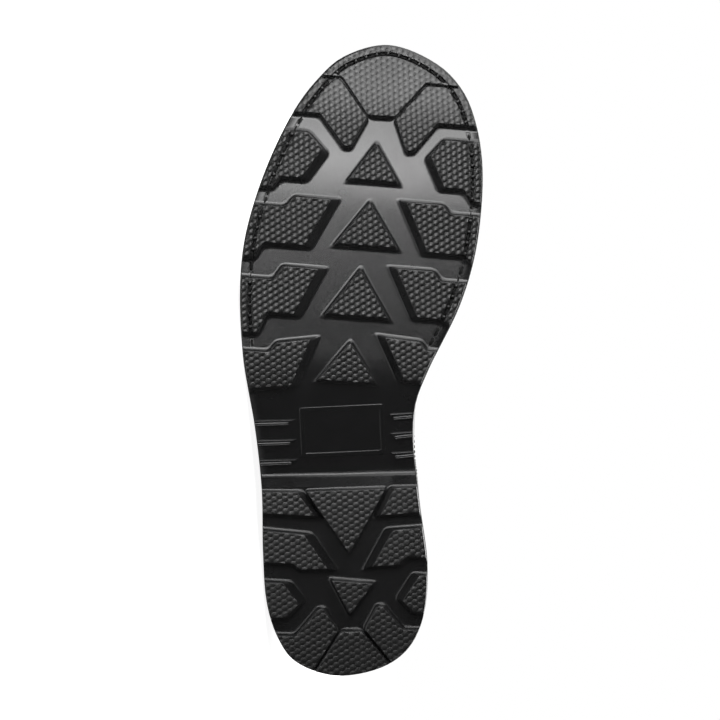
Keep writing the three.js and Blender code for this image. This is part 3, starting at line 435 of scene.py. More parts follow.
def side_foot(r):
    s = r["side"]
    corners = (
        (r["front_out"], BEYOND), (r["front_out"], r["front_step"] + STEP_RUN),
        (r["front"], r["front_step"] - STEP_RUN), (r["front"], r["tip"]), (r["back"], r["heel"]),
        (r["back"], r["back_step"] - STEP_RUN), (r["back_out"], r["back_step"] + STEP_RUN),
        (r["back_out"], BEYOND),
    )
    return [(along, s * across) for along, across in corners]


def pointed_foot(r):
    s = r["side"]
    corners = (
        (r["front"], BEYOND), (r["front"], r["front_end"]), (r["tip_at"], r["tip"]),
        (r["back"], r["back_end"]), (r["back"], r["back_step"] - STEP_RUN),
        (r["back_out"], r["back_step"] + STEP_RUN), (r["back_out"], BEYOND),
    )
    return [(along, s * across) for along, across in corners]


def middle_foot(r):
    medial, lateral = r["centre"] - r["half"], r["centre"] + r["half"]
    return [(r["point"], r["centre"]), (r["base"], medial), (r["base"], lateral)]


# Each lug: its foot, the slopes of the sides that don't lean as the others do, and True where the
# stitching groove crosses it, False where it only reaches the sole's edge, None where it does neither.
B = BEYOND
RAMP = 3.6
STEEP = 0.3
LUGS = (
    [(side_foot(r), {3: RAMP}, True) for r in SIDE_LUGS]
    + [(pointed_foot(r), {2: RAMP}, True) for r in POINTED_LUGS]
    + [(middle_foot(r), {}, None) for r in MIDDLE_LUGS]
    + [
        (
            [
                (0.502, B), (0.504, 0.398), (0.519, 0.372),
                (0.532, 0.183), (0.446, 0.258), (0.425, B),
            ],
            {3: RAMP}, False,
        ),
        (
            [
                (0.526, -B), (0.525, -0.274), (0.538, -0.246),
                (0.542, -0.045), (0.466, -0.159), (0.46, -B),
            ],
            {3: RAMP}, False,
        ),
        (
            [
                (0.874, B), (0.874, 0.264), (0.825, 0.151), (0.826, 0.113),
                (0.877, 0.05), (0.938, 0.182), (0.938, B),
            ],
            {4: STEEP, 5: STEEP}, True,
        ),
        (
            [
                (0.941, B), (0.941, 0.18), (0.877, 0.046),
                (0.878, -0.05), (0.941, -0.18), (0.941, -B),
            ],
            {0: STEEP, 1: STEEP, 3: STEEP, 4: STEEP}, True,
        ),
        (
            [
                (0.873, -B), (0.873, -0.243), (0.826, -0.151), (0.825, -0.113),
                (0.878, -0.054), (0.938, -0.182), (0.938, -B),
            ],
            {4: STEEP, 5: STEEP}, True,
        ),
        ([(0.276, B), (0.288, 0.206), (0.243, 0.102), (0.239, B)], {0: 0.8, 1: 2.4}, False),
        ([(0.289, 0.2), (0.304, -0.15), (0.192, -0.013)], {0: 0.8, 1: STEEP, 2: STEEP}, None),
        ([(0.305, -0.156), (0.323, -B), (0.28, -B), (0.25, -0.096)], {0: 0.8, 3: 2.4}, False),
        (
            [
                (0.226, B), (0.223, 0.151), (0.164, 0.02),
                (0.157, 0.197), (0.166, 0.228), (0.161, B),
            ],
            {1: RAMP}, False,
        ),
        (
            [
                (0.267, -B), (0.239, -0.152), (0.168, -0.065),
                (0.178, -0.236), (0.191, -0.264), (0.196, -B),
            ],
            {1: RAMP}, False,
        ),
        ([(0.141, B), (0.145, 0.224), (0.116, 0.15), (0.081, 0.223), (0.068, B)], {1: RAMP}, False),
        ([(0.178, -B), (0.173, -0.281), (0.13, -0.217), (0.105, -0.291), (0.103, -B)], {1: RAMP}, False),
        (
            [
                (0.056, B), (0.063, 0.194), (0.108, 0.106), (0.109, 0.072),
                (0.076, 0.002), (-0.02, 0.139), (-0.02, B),
            ],
            {4: STEEP}, False,
        ),
        (
            [
                (0.076, -0.004), (0.079, -0.086),
                (-0.02, -0.345), (-0.02, 0.133),
            ],
            {0: 1.2, 1: STEEP, 3: STEEP}, False,
        ),
        (
            [
                (0.093, -B), (0.087, -0.269), (0.121, -0.177), (0.12, -0.139),
                (0.08, -0.092), (-0.02, -0.351), (-0.02, -B),
            ],
            {4: STEEP}, False,
        ),
    ]
)


def way_round(polygon):
    """1 for a closed outline that runs anticlockwise, -1 for one that runs clockwise."""
    following = np.roll(polygon, -1, 0)
    return math.copysign(1, np.sum(polygon[:, 0] * following[:, 1] - polygon[:, 1] * following[:, 0]))


def foot_corners(foot):
    return np.array([(across * BALL_WIDTH, along * SOLE_LENGTH) for along, across in foot])


def offset_corners(corners, distances):
    """A closed outline with each side moved out by its own distance."""
    n = len(corners)
    along = np.roll(corners, -1, 0) - corners
    along /= np.linalg.norm(along, axis=1)[:, None]
    out = np.stack([along[:, 1], -along[:, 0]], 1) * way_round(corners)
    start = corners + out * np.asarray(distances)[:, None]
    made = []
    for i in range(n):
        bend = along[i - 1][0] * along[i][1] - along[i - 1][1] * along[i][0]
        if abs(bend) < 0.03:
            made.append(start[i])
            continue
        gap = start[i] - start[i - 1]
        reach = (gap[0] * along[i][1] - gap[1] * along[i][0]) / bend
        made.append(start[i - 1] + along[i - 1] * reach)
    return np.array(made)


def rounded(corners, radius, steps=4):
    """Each corner of a closed outline replaced by a small curve."""
    made = []
    n = len(corners)
    for i in range(n):
        a, b, c = corners[i - 1], corners[i], corners[(i + 1) % n]
        before, after = a - b, c - b
        la, lc = np.linalg.norm(before), np.linalg.norm(after)
        reach = min(radius, 0.4 * la, 0.4 * lc)
        start, end = b + before / la * reach, b + after / lc * reach
        for k in range(steps + 1):
            t = k / steps
            made.append((1 - t) ** 2 * start + 2 * t * (1 - t) * b + t**2 * end)
    return np.array(made)


def inside(points, polygon):
    """Which points lie in a closed polygon."""
    x, y = points[:, 0][:, None], points[:, 1][:, None]
    a, b = polygon, np.roll(polygon, -1, 0)
    crosses = (a[:, 1] > y) != (b[:, 1] > y)
    with np.errstate(divide="ignore", invalid="ignore"):
        at = a[:, 0] + (y - a[:, 1]) * (b[:, 0] - a[:, 0]) / (b[:, 1] - a[:, 1])
    return np.sum(crosses & (x < at), 1) % 2 == 1


def nearest_on(points, polygon):
    """For each point, the nearest place on every side of a closed polygon and how far it is."""
    a, b = polygon, np.roll(polygon, -1, 0)
    span = b - a
    t = np.einsum("pkd,kd->pk", points[:, None] - a, span) / np.maximum(np.sum(span**2, 1), 1e-12)
    near = a + clamp01(t)[..., None] * span
    return near, np.linalg.norm(points[:, None] - near, axis=2)


def distance_to(points, polygon):
    return np.min(nearest_on(points, polygon)[1], 1)


def crossing(a, b, ring):
    """Where the stretch from a to b crosses a closed ring: the point and the place along it."""
    c, d = ring, np.roll(ring, -1, 0)
    r, s = b - a, d - c
    bend = r[0] * s[:, 1] - r[1] * s[:, 0]
    gap = c - a
    with np.errstate(divide="ignore", invalid="ignore"):
        t = (gap[:, 0] * s[:, 1] - gap[:, 1] * s[:, 0]) / bend
        u = (gap[:, 0] * r[1] - gap[:, 1] * r[0]) / bend
    hits = np.where((t >= 0) & (t <= 1) & (u >= 0) & (u < 1))[0]
    if not len(hits):
        return None
    i = hits[np.argmin(t[hits])]
    return a + r * t[i], i + u[i]


def along_ring(ring, start, end, count):
    """Points of a closed ring between two places on it, the shorter way round."""
    n = len(ring)
    way = (end - start) % n
    if way > n / 2:
        way -= n
    places = start + way * (np.arange(1, count) / count)
    low = np.floor(places).astype(int)
    share = (places - low)[:, None]
    return ring[low % n] * (1 - share) + ring[(low + 1) % n] * share


def trimmed(polygon, ring):
    """The chain of a polygon inside a ring, from where it comes in to where it goes out."""
    within = inside(polygon, ring)
    n = len(polygon)
    if within.all():
        return None
    first = next(i for i in range(n) if within[i] and not within[i - 1])
    chain, i = [], first
    while within[i % n]:
        chain.append(polygon[i % n])
        i += 1
    enter = crossing(polygon[first - 1], polygon[first], ring)
    leave = crossing(polygon[(i - 1) % n], polygon[i % n], ring)
    return enter, np.array(chain), leave


def ring_stretch(ring, start, end):
    n = len(ring)
    way = abs((end - start + n / 2) % n - n / 2)
    return along_ring(ring, start, end, max(2, int(math.ceil(way))))


def lug_polygon(corners, part, share):
    """A lug's outline at one level: whole, or inside or outside the stitching groove."""
    dense = rounded(corners, mix(FOOT_CORNER, TOP_CORNER, share))
    if part == "free":
        return dense
    level = max(0.0, share)
    rim = inset(sole_ring, LUG_INSET + 0.3 * level + (FILLER_INSET if part == "filler" else 0))
    ring = inset(sole_ring, GROOVE_INSET + GROOVE_HALF + 0.2 * level) if part == "inner" else rim
    enter, chain, leave = trimmed(dense, ring)
    if part in ("whole", "filler", "inner"):
        return np.vstack([enter[0], chain, leave[0], ring_stretch(ring, leave[1], enter[1])])
    shore = inset(sole_ring, GROOVE_INSET - GROOVE_HALF - 0.2 * level)
    inner = trimmed(dense, shore)
    deep = inside(chain, shore)
    first, last = np.argmax(deep), len(deep) - 1 - np.argmax(deep[::-1])
    return np.vstack([
        enter[0], chain[:first], inner[0][0], ring_stretch(shore, inner[0][1], inner[2][1]), inner[2][0],
        chain[last + 1:], leave[0], ring_stretch(rim, leave[1], enter[1]),
    ])


def zip_loops(lower, upper, points):
    """Triangles between two loops of unlike counts that start side by side."""
    a, b = len(lower), len(upper)
    i = j = 0
    faces = []
    while i < a or j < b:
        p, q = lower[i % a], upper[j % b]
        step_a = np.linalg.norm(points[lower[(i + 1) % a]][:2] - points[q][:2]) if i < a else math.inf
        step_b = np.linalg.norm(points[p][:2] - points[upper[(j + 1) % b]][:2]) if j < b else math.inf
        if step_a <= step_b:
            faces.append((p, lower[(i + 1) % a], q))
            i += 1
        else:
            faces.append((p, upper[(j + 1) % b], q))
            j += 1
    return faces


EDGE_ROUND = 0.3
TOP_LEVEL = 0.3
CHANNEL_DEPTH = 2.1
FILLER_INSET = 0.14
FOOT_CORNER = 2.2
TOP_CORNER = 1.1
DRAFT = 1.2
HEEL_DRAFT = 1.9
ROOT_ROUND = 0.85
ROOT_PROFILE = [
    (-1.3, -0.02), (-0.9, 0.01), (-0.55, 0.05), (-0.2, 0.11), (0.1, 0.2), (0.35, 0.31), (0.6, 0.48),
    (0.85, 0.76), (1.0, 1.15),
]
tread_tops = []
channel_spans = []


def wall_draft(corners, i):
    """Walls that face the heel lean more than those that face the toe."""
    along = corners[(i + 1) % len(corners)] - corners[i]
    facing = -along[0] / np.linalg.norm(along) * way_round(corners)
    return HEEL_DRAFT if facing < -0.6 else DRAFT


def add_lug(points, faces, foot, slopes, part, low=TOP_LEVEL):
    corners = foot_corners(foot)
    drafts = np.array([slopes.get(i, wall_draft(corners, i)) for i in range(len(corners))])
    if part == "filler":
        corners = offset_corners(corners, np.full(len(corners), -FILLER_INSET))
    root_rounds = np.minimum(ROOT_ROUND, 0.7 * drafts)
    head = lug_polygon(offset_corners(corners, -drafts), part, 1)

    def loop(polygon, z):
        first = len(points)
        points.extend(np.array((p[0], p[1], z)) for p in polygon)
        return list(range(first, first + len(polygon)))

    def shrunk(polygon, distance):
        along = np.roll(polygon, -1, 0) - np.roll(polygon, 1, 0)
        along /= np.maximum(np.linalg.norm(along, axis=1), 1e-9)[:, None]
        return polygon + np.stack([-along[:, 1], along[:, 0]], 1) * distance * way_round(polygon)

    feet = []
    for way, rise in ROOT_PROFILE:
        moved = offset_corners(corners, -root_rounds * way)
        feet.append(loop(lug_polygon(moved, part, 0.6 * way), LUG_DEPTH - ROOT_ROUND * rise))
    rims = [
        loop(head, low + EDGE_ROUND),
        loop(shrunk(head, 0.3 * EDGE_ROUND), low + 0.3 * EDGE_ROUND),
        loop(shrunk(head, EDGE_ROUND), low),
    ]
    made = []
    for a, b in zip(rims, rims[1:]):
        made += [(a[i], a[(i + 1) % len(a)], b[(i + 1) % len(b)], b[i]) for i in range(len(a))]
    for a, b in zip(feet, [*feet[1:], rims[0]]):
        made += zip_loops(a, b, points)
    made += [tuple(rims[2]), tuple(reversed(feet[0]))]
    faces.extend(made)
    if low == TOP_LEVEL:
        tread_tops.append(shrunk(head, EDGE_ROUND))
    else:
        channel_spans.append(head)


def bend_to_sole(piece_points):
    """Flat heights, 0 at the tread and LUG_DEPTH at the lug's root, as real ones."""
    p = np.array(piece_points, float)
    y, z = p[:, 1], p[:, 2]
    tread, root = tread_up(y), lug_root_up(y)
    p[:, 2] = np.where(z < LUG_DEPTH, tread + z * (root - tread) / LUG_DEPTH, root + z - LUG_DEPTH)
    return p


def tread():
    points, faces = [], []
    for foot, slopes, stitched in LUGS:
        if stitched:
            add_lug(points, faces, foot, slopes, "inner")
            add_lug(points, faces, foot, slopes, "rim")
            add_lug(points, faces, foot, slopes, "filler", low=TOP_LEVEL + CHANNEL_DEPTH)
        else:
            add_lug(points, faces, foot, slopes, "free" if stitched is None else "whole")
    built = bmesh.new()
    verts = [built.verts.new(tuple(p)) for p in points]
    for face in faces:
        if len(set(face)) > 2:
            try:
                built.faces.new([verts[i] for i in face])
            except ValueError:
                pass
    bmesh.ops.recalc_face_normals(built, faces=built.faces)
    for y in [*np.arange(132, 168, 5.0), *np.arange(228, 309, 4.0)]:
        everything = built.verts[:] + built.edges[:] + built.faces[:]
        bmesh.ops.bisect_plane(built, geom=everything, dist=1e-5, plane_co=(0, y, 0), plane_no=(0, 1, 0))
    bent = laid(bend_to_sole([v.co for v in built.verts]))
    for v, p in zip(built.verts, bent):
        v.co = p
    mesh = bpy.data.meshes.new("sole_lugs")
    built.to_mesh(mesh)
    built.free()
    return mesh


add_piece("sole_lugs", tread(), rubber_base, 40)

# The domes on the lugs, in a six-sided lattice.
DOME_ALONG = 3.03
DOME_ACROSS = 2.64
DOME_RADIUS = 1.72
DOME_HEIGHT = 0.46
TOE_DOME = 0.45
HEEL_DOME = 0.44
DOME_REACH = -0.9
TURN_ANGLE = math.radians(-7.2)
TREAD_TURN = np.array([
    [math.cos(TURN_ANGLE), -math.sin(TURN_ANGLE)], [math.sin(TURN_ANGLE), math.cos(TURN_ANGLE)],
])


def pulled_in(points, polygon):
    """Points of the plane, those outside a closed polygon moved to its nearest edge."""
    near, away = nearest_on(points, polygon)
    edge = near[np.arange(len(points)), np.argmin(away, 1)]
    return np.where(inside(points, polygon)[:, None], points, edge)


def dome_share(y):
    """How high the domes stand: less at the toe and the heel, where they are worn."""
    share = y / SOLE_LENGTH
    return mix(HEEL_DOME, 1, ease(0.3, 0.68, share)) * mix(1, TOE_DOME, ease(0.84, 0.93, share))


def dome_shape(around=10):
    profile = [(1.0, 0.8), (1.0, -0.02), (0.8, -0.38), (0.52, -0.76), (0.24, -0.95)]
    angles = np.arange(around) / around * 2 * math.pi
    points = [
        (DOME_RADIUS * r * math.cos(a), DOME_RADIUS * r * math.sin(a), z * DOME_HEIGHT)
        for r, z in profile
        for a in angles
    ]
    faces = []
    for k in range(len(profile) - 1):
        for i in range(around):
            j = (i + 1) % around
            faces.append((k * around + i, (k + 1) * around + i, (k + 1) * around + j, k * around + j))
    last = (len(profile) - 1) * around
    faces += [(last + i, last + around, last + (i + 1) % around) for i in range(around)]
    return np.array([*points, (0, 0, -DOME_HEIGHT)]), [*faces, tuple(range(around))]


def domes():
    """Domes on every lug, those over its edge cut by it."""
    grid = np.array([
        (c * DOME_ACROSS, (r + 0.5 * (c % 2)) * DOME_ALONG) for c in range(-60, 61) for r in range(-75, 180)
    ])
    grid = grid @ TREAD_TURN.T
    shape, shape_faces = dome_shape()
    points, faces = [], []
    for polygon in tread_tops:
        low, high = polygon.min(0) - DOME_RADIUS, polygon.max(0) + DOME_RADIUS
        near = grid[np.all((grid > low) & (grid < high), 1)]
        room = distance_to(near, polygon) * np.where(inside(near, polygon), 1, -1)
        for centre, free in zip(near[room > DOME_REACH], room[room > DOME_REACH]):
            made = shape * np.array((1, 1, dome_share(centre[1]))) + np.array((*centre, TOP_LEVEL))
            if free < DOME_RADIUS:
                made[:, :2] = pulled_in(made[:, :2], polygon)
            made[:, 2] += tread_up(made[:, 1])
            faces += [tuple(i + len(points) * len(shape) for i in f) for f in shape_faces]
            points.append(made)
    return np.vstack(points), faces


add_mesh("sole_domes", *domes(), rubber_tread, "sole", 60)

# The heel block, its front leaning forwards up to the shank, as [lean, share of its rise, lift].
BREAST = [
    (0, 0, 0), (5.3, 0.83, 0), (5.7, 0.88, 0), (6.3, 0.93, 0), (7.1, 0.968, 0), (8.1, 0.99, 0),
    (9.3, 1, 0.1), (9.3, 1, 2.4),
]
BREAST_TOP = 18.6
BREAST_SKEW = 0.055
BREAST_CORNER = 3.0


def heel_block():
    foot = [(0.283, B), (0.297, 0.048), (0.316, -B), (-0.1, -B), (-0.1, B)]
    corners = foot_corners(foot)
    ring = inset(sole_ring, LUG_INSET)
    points, faces, before = [], [], None
    for lean, rise, lift in BREAST:
        share = lean / BREAST[-1][0]
        skewed = corners - share * np.stack([0 * corners[:, 0], 1 + BREAST_SKEW * corners[:, 0]], 1)
        grown = offset_corners(skewed, [lean, lean, 0, 0, 0])
        enter, chain, leave = trimmed(rounded(grown, BREAST_CORNER), ring)
        polygon = np.vstack([enter[0], chain, leave[0], ring_stretch(ring, leave[1], enter[1])])
        up = lambda y: mix(LUG_DEPTH, np.minimum(slab_under_up(y), BREAST_TOP), rise) + lift
        here = list(range(len(points), len(points) + len(polygon)))
        points.extend(raised(polygon, up))
        faces += zip_loops(before, here, points) if before else [tuple(reversed(here))]
        before = here
    return points, faces + [tuple(before)]


add_mesh("sole_heel", *heel_block(), rubber_base, "sole", 50)

# The shank: bars from either side with a raised line along each edge, and a plain badge frame.
SHANK_BARS = table(
    "side at inner lean",
    (1, 0.392, 0.265, -0.006), (1, 0.361, 0.253, -0.006), (1, 0.33, 0.24, -0.006),
    (-1, 0.413, 0.133, 0.005), (-1, 0.383, 0.144, 0.005), (-1, 0.352, 0.154, 0.005),
)
BAR_HALF = 1.7
BAR_HEIGHT = 1.5
BAR_RIDGE = [(-0.12, 0.8), (-0.06, 0.97), (0.0, 1.0), (0.12, 0.97), (0.24, 0.9), (0.34, 0.78), (0.42, 0.45)]
BAR_PROFILE = [
    (-0.85, -0.2), *[(along - 0.65, height) for along, height in BAR_RIDGE], (-0.1, 0.3),
    (0.4, 0.3), *[(along + 0.6, height) for along, height in BAR_RIDGE], (1.1, -0.2),
]
BADGE = {"heel": 0.345, "toe": 0.426, "medial": -0.121, "lateral": 0.241, "rim": 2.6, "lip": 0.35}
BADGE_CORNER = 2.4
BADGE_PROFILE = [
    (0, -0.3), (0.1, 0.3), (0.4, 0.95), (0.7, 1),
    *[(BADGE["rim"] - inwards, up) for inwards, up in ((0.7, 1), (0.4, 0.95), (0.1, 0.3), (0, -0.3))],
]


def shank_bars():
    points, faces = [], []
    shares = [-0.03, 0.0, 0.02, *np.arange(0.1, 1.01, 0.1)]
    for bar in SHANK_BARS:
        start, n = len(points), len(BAR_PROFILE)
        middle = bar["at"] * SOLE_LENGTH
        for share in shares:
            end = clamp01((share + 0.03) / 0.05)
            for along, height in BAR_PROFILE:
                inner = bar["side"] * (bar["inner"] * BALL_WIDTH + BAR_HALF * (1 - along))
                y = middle + BAR_HALF * along
                outer = edge_x(lateral_side if bar["side"] > 0 else medial_side, y) - bar["side"] * 0.8
                y += bar["lean"] * SOLE_LENGTH * max(0.0, share)
                rise = BAR_HEIGHT * mix(-0.2, height, end)
                points.append((mix(inner, outer, share), y, float(slab_under_up(y)) - rise))
        faces += [tuple(start + i for i in quad) for quad in tube(len(shares), n)]
        faces += [tuple(range(start, start + n)), tuple(range(len(points) - n, len(points)))]
    return points, faces


def badge_frame():
    heel, toe = BADGE["heel"] * SOLE_LENGTH, BADGE["toe"] * SOLE_LENGTH
    medial, lateral = BADGE["medial"] * BALL_WIDTH, BADGE["lateral"] * BALL_WIDTH
    corners = np.array(
        [(lateral, y) for y in np.linspace(heel, toe, 7)] + [(medial, y) for y in np.linspace(toe, heel, 7)]
    )
    middle = corners.mean(0)
    corners = (corners - middle) @ TREAD_TURN.T + middle
    loft = Loft()
    for depth, height in BADGE_PROFILE:
        ring = rounded(offset_corners(corners, [-depth] * len(corners)), BADGE_CORNER - 0.5 * depth)
        loft.ring(raised(ring, lambda y: slab_under_up(y) - BADGE["lip"] * height))
    around, last = len(ring), len(loft.points) - len(ring)
    inside_wall = [(last + i, last + (i + 1) % around, (i + 1) % around, i) for i in range(around)]
    return loft.points, loft.faces + inside_wall


add_mesh("shank_bars", *shank_bars(), rubber_base, "sole", 60)
add_mesh("badge_frame", *badge_frame(), rubber_base, "sole", 60)

# The upper's form, section by section, as in the source.
FORM_ROWS = table(
    "at foot top topUp lateral medial ridge widest square",
    (0, 0.826, 0.826, 0.388, 0.378, 0.387, -0.004, 0.3, 2.7),
    (1, 0.748, 0.748, 0.397, 0.447, 0.398, 0.008, 0.27, 2.5),
    (2, 0.671, 0.674, 0.437, 0.484, 0.376, 0.02, 0.25, 2.3),
    (3, 0.594, 0.613, 0.508, 0.47, 0.32, 0.032, 0.25, 2.2),
    (4, 0.516, 0.563, 0.576, 0.44, 0.262, 0.038, 0.26, 2.15),
    (5, 0.426, 0.519, 0.65, 0.4, 0.24, 0.034, 0.28, 2.1),
    (6, 0.323, 0.484, 0.721, 0.356, 0.246, 0.022, 0.31, 2.1),
    (7, 0.219, 0.461, 0.781, 0.332, 0.262, 0.012, 0.35, 2.1),
    (8, 0.116, 0.445, 0.831, 0.322, 0.28, 0.004, 0.39, 2.1),
    (9, 0.045, 0.436, 0.867, 0.316, 0.294, 0.002, 0.43, 2.1),
    (10, 0.0, 0.43, 0.9, 0.313, 0.302, 0, 0.46, 2.1),
)
SHAFT_ROWS = table(
    "at back backUp top topUp lateral medial",
    (10, 0.0103, 0.152, 0.43, 0.9, 0.313, 0.302),
    (11, 0.003, 0.25, 0.425, 0.931, 0.312, 0.298),
    (12, 0.004, 0.37, 0.421, 0.963, 0.312, 0.292),
    (13, 0.021, 0.517, 0.418, 0.997, 0.314, 0.286),
    (14, 0.037, 0.663, 0.416, 1.034, 0.32, 0.28),
    (15, 0.043, 0.815, 0.415, 1.076, 0.328, 0.276),
    (16, 0.04, 0.966, 0.413, 1.124, 0.335, 0.275),
    (17, 0.035, 1.1, 0.412, 1.18, 0.34, 0.275),
)
TURN_AT, CORNER_AT, LAST_AT, TOE_AT = 8, 10, 17, -1
FORM_STAND = 0.55
LEATHER = 2.2
QUARTER_STEP = 1.2
OVERLAY = 1.6
CLEARANCE = 0.3
COLLAR_PADDING = 2.2
COLLAR_DEPTH = 24.0
TONGUE_RISE = 16.0
TONGUE_THICKNESS = 3.4
TONGUE_LAP = 11.0
THROAT_HALF = 11.0
THROAT_FLARE = 6.0
EYESTAY_WIDTH = 17.0


def reveal(y):
    return mix(HEEL_REVEAL, WELT_REVEAL, ease(0.25, 0.62, y / SOLE_LENGTH))


feather_ring = inset(sole_ring, reveal)
feather_lateral = feather_ring[: TIPS + 1]
feather_medial = np.vstack([feather_ring[TIPS:], feather_ring[:1]])
feather_lateral = feather_lateral[feather_lateral[:, 1].argsort()]
feather_medial = feather_medial[feather_medial[:, 1].argsort()]
feather_heel, feather_toe = feather_lateral[0], feather_lateral[-1]


def foot_along(at):
    if at <= TURN_AT:
        return follow(FORM_ROWS, "at", "foot", at) * SOLE_LENGTH
    start = FORM_ROWS[TURN_AT]["foot"] * SOLE_LENGTH
    turn = (at - TURN_AT) / (CORNER_AT - TURN_AT) * math.pi / 2
    return mix(start, feather_heel[1], math.sin(turn))


def section_at(at):
    if at < 0:
        start = FORM_ROWS[0]["foot"] * SOLE_LENGTH
        q = 1 - (1 + at) ** 2
        y = mix(start, feather_toe[1], math.sin(q * math.pi / 2))
        reach = (y - start) / (feather_toe[1] - start)
        full = max(0.0, 1 - reach**2.5) ** (1 / 2.5)
        foot = float(sole_top_up(y)) + FORM_STAND
        sides = (edge_x(feather_lateral, y), edge_x(feather_medial, y))
        return {
            "foot": (y, foot), "top": (y, foot + TOE_BOX_HEIGHT * full), "feather": sides,
            "widest": (sides[0] + 1.6 * full, sides[1] - 1.6 * full),
            "ridge": mix(FORM_ROWS[0]["ridge"] * BALL_WIDTH, feather_toe[0], reach),
            "level": FORM_ROWS[0]["widest"], "square": mix(2.5, FORM_ROWS[0]["square"], full), "round": 0.0,
        }
    rows = FORM_ROWS if at <= CORNER_AT else SHAFT_ROWS
    take = lambda column: follow(rows, "at", column, at)
    top = (take("top") * SOLE_LENGTH, take("topUp") * COLLAR_FRONT)
    widest = (take("lateral") * BALL_WIDTH, -take("medial") * BALL_WIDTH)
    if at > CORNER_AT:
        foot = (take("back") * SOLE_LENGTH, take("backUp") * COLLAR_FRONT)
        return {
            "foot": foot, "top": top, "feather": (feather_heel[0], feather_heel[0]), "widest": widest,
            "ridge": 0.0, "level": 0.47, "square": 2.1, "round": 1.0,
        }
    y = foot_along(at)
    return {
        "foot": (y, float(sole_top_up(y)) + FORM_STAND), "top": top,
        "feather": (edge_x(feather_lateral, y), edge_x(feather_medial, y)), "widest": widest,
        "ridge": take("ridge") * BALL_WIDTH, "level": take("widest"), "square": take("square"),
        "round": float(ease(6, CORNER_AT, at)),
    }


LOW_STEPS = 10
HIGH_STEPS = 26
COLUMNS = 2 * (LOW_STEPS + HIGH_STEPS)


def between(s, share):
    """How far along and up a section's place is, at a share of the way from its foot to its top."""
    return mix(s["foot"][0], s["top"][0], share), mix(s["foot"][1], s["top"][1], share)


def section_point(s, column):
    side = 0 if column <= COLUMNS / 2 else 1
    step = COLUMNS - column if side else column
    if step <= LOW_STEPS:
        turn = step / LOW_STEPS * math.pi / 2
        share = s["level"] * mix(step / LOW_STEPS, 1 - math.cos(turn), s["round"])
        x = mix(s["feather"][side], s["widest"][side], math.sin(turn))
    else:
        turn = (step - LOW_STEPS) / HIGH_STEPS * math.pi / 2
        share = mix(s["level"], 1, math.sin(turn) ** (2 / s["square"]))
        x = mix(s["ridge"], s["widest"][side], max(0.0, math.cos(turn)) ** (2 / s["square"]))
    return (x, *between(s, share))


def spread(start, end, count):
    return [mix(start, end, i / count) for i in range(count)]


form_sections = (
    spread(TOE_AT, 0, 20) + spread(0, TURN_AT, 44) + spread(TURN_AT, CORNER_AT, 18)
    + spread(CORNER_AT, LAST_AT, 72) + [LAST_AT]
)
form_grid = np.array([
    [section_point(section_at(at), j) for j in range(COLUMNS + 1)] for at in form_sections
])
corner_row = next(i for i, at in enumerate(form_sections) if at >= CORNER_AT - 1e-6)

# The crease where the shaft's sections begin is smoothed away, the lower edge kept.
for _ in range(60):
    eased = form_grid.copy()
    eased[1:-1] = (form_grid[:-2] + 2 * form_grid[1:-1] + form_grid[2:]) / 4
    eased[: corner_row + 1, (0, COLUMNS)] = form_grid[: corner_row + 1, (0, COLUMNS)]
    near_corner = slice(corner_row - 14, corner_row + 30)
    form_grid[near_corner] = eased[near_corner]


def grid_normals(grid):
    ahead = np.concatenate([grid[1:], grid[-1:]])
    behind = np.concatenate([grid[:1], grid[:-1]])
    right = np.concatenate([grid[:, 1:], grid[:, -1:]], 1)
    left = np.concatenate([grid[:, :1], grid[:, :-1]], 1)
    right[corner_row:, -1] = grid[corner_row:, 1]
    left[corner_row:, 0] = grid[corner_row:, -2]
    normals = np.cross(right - left, ahead - behind)
    normals[0] = (0, 1, 0)
    return normals / np.maximum(np.linalg.norm(normals, axis=2), 1e-9)[..., None]


form_normals = grid_normals(form_grid)


def form_points(offset):
    moved = form_grid + form_normals * (offset[..., None] if isinstance(offset, np.ndarray) else offset)
    floor = sole_top_up(moved[..., 1]) + FORM_STAND
    moved[0, :, 2] = floor[0]
    for j in (0, COLUMNS):
        moved[: corner_row + 1, j, 2] = floor[: corner_row + 1, j]
    return moved


# Closed bodies in millimetres, cut and joined before they become pieces.
def body(points, faces):
    mesh = bpy.data.meshes.new("body")
    clean = [tuple(dict.fromkeys(int(i) for i in f)) for f in faces]
    mesh.from_pydata([tuple(p) for p in points], [], [f for f in clean if len(f) > 2])
    built = bmesh.new()
    built.from_mesh(mesh)
    bmesh.ops.remove_doubles(built, verts=built.verts, dist=1e-4)
    bmesh.ops.triangulate(built, faces=built.faces)
    fins = {f for e in built.edges if len(e.link_faces) == 1 for f in e.link_faces}
    bmesh.ops.delete(built, geom=list(fins), context="FACES_ONLY")
    bmesh.ops.delete(built, geom=[e for e in built.edges if not e.link_faces], context="EDGES")
    bmesh.ops.recalc_face_normals(built, faces=built.faces)
    if built.calc_volume(signed=True) < 0:
        bmesh.ops.reverse_faces(built, faces=built.faces)
    built.to_mesh(mesh)
    built.free()
    return mesh


def combine(first, operation, *others):
    """A body joined with, cut by or kept within other bodies."""
    result = first
    for other in others:
        holders = [bpy.data.objects.new("holder", m) for m in (result, other)]
        for holder in holders:
            bpy.context.scene.collection.objects.link(holder)
        cut = holders[0].modifiers.new("cut", "BOOLEAN")
        cut.operation = operation
        cut.solver = "MANIFOLD"
        cut.object = holders[1]
        graph = bpy.context.evaluated_depsgraph_get()
        result = bpy.data.meshes.new_from_object(holders[0].evaluated_get(graph))
        for holder in holders:
            bpy.data.objects.remove(holder)
    return result


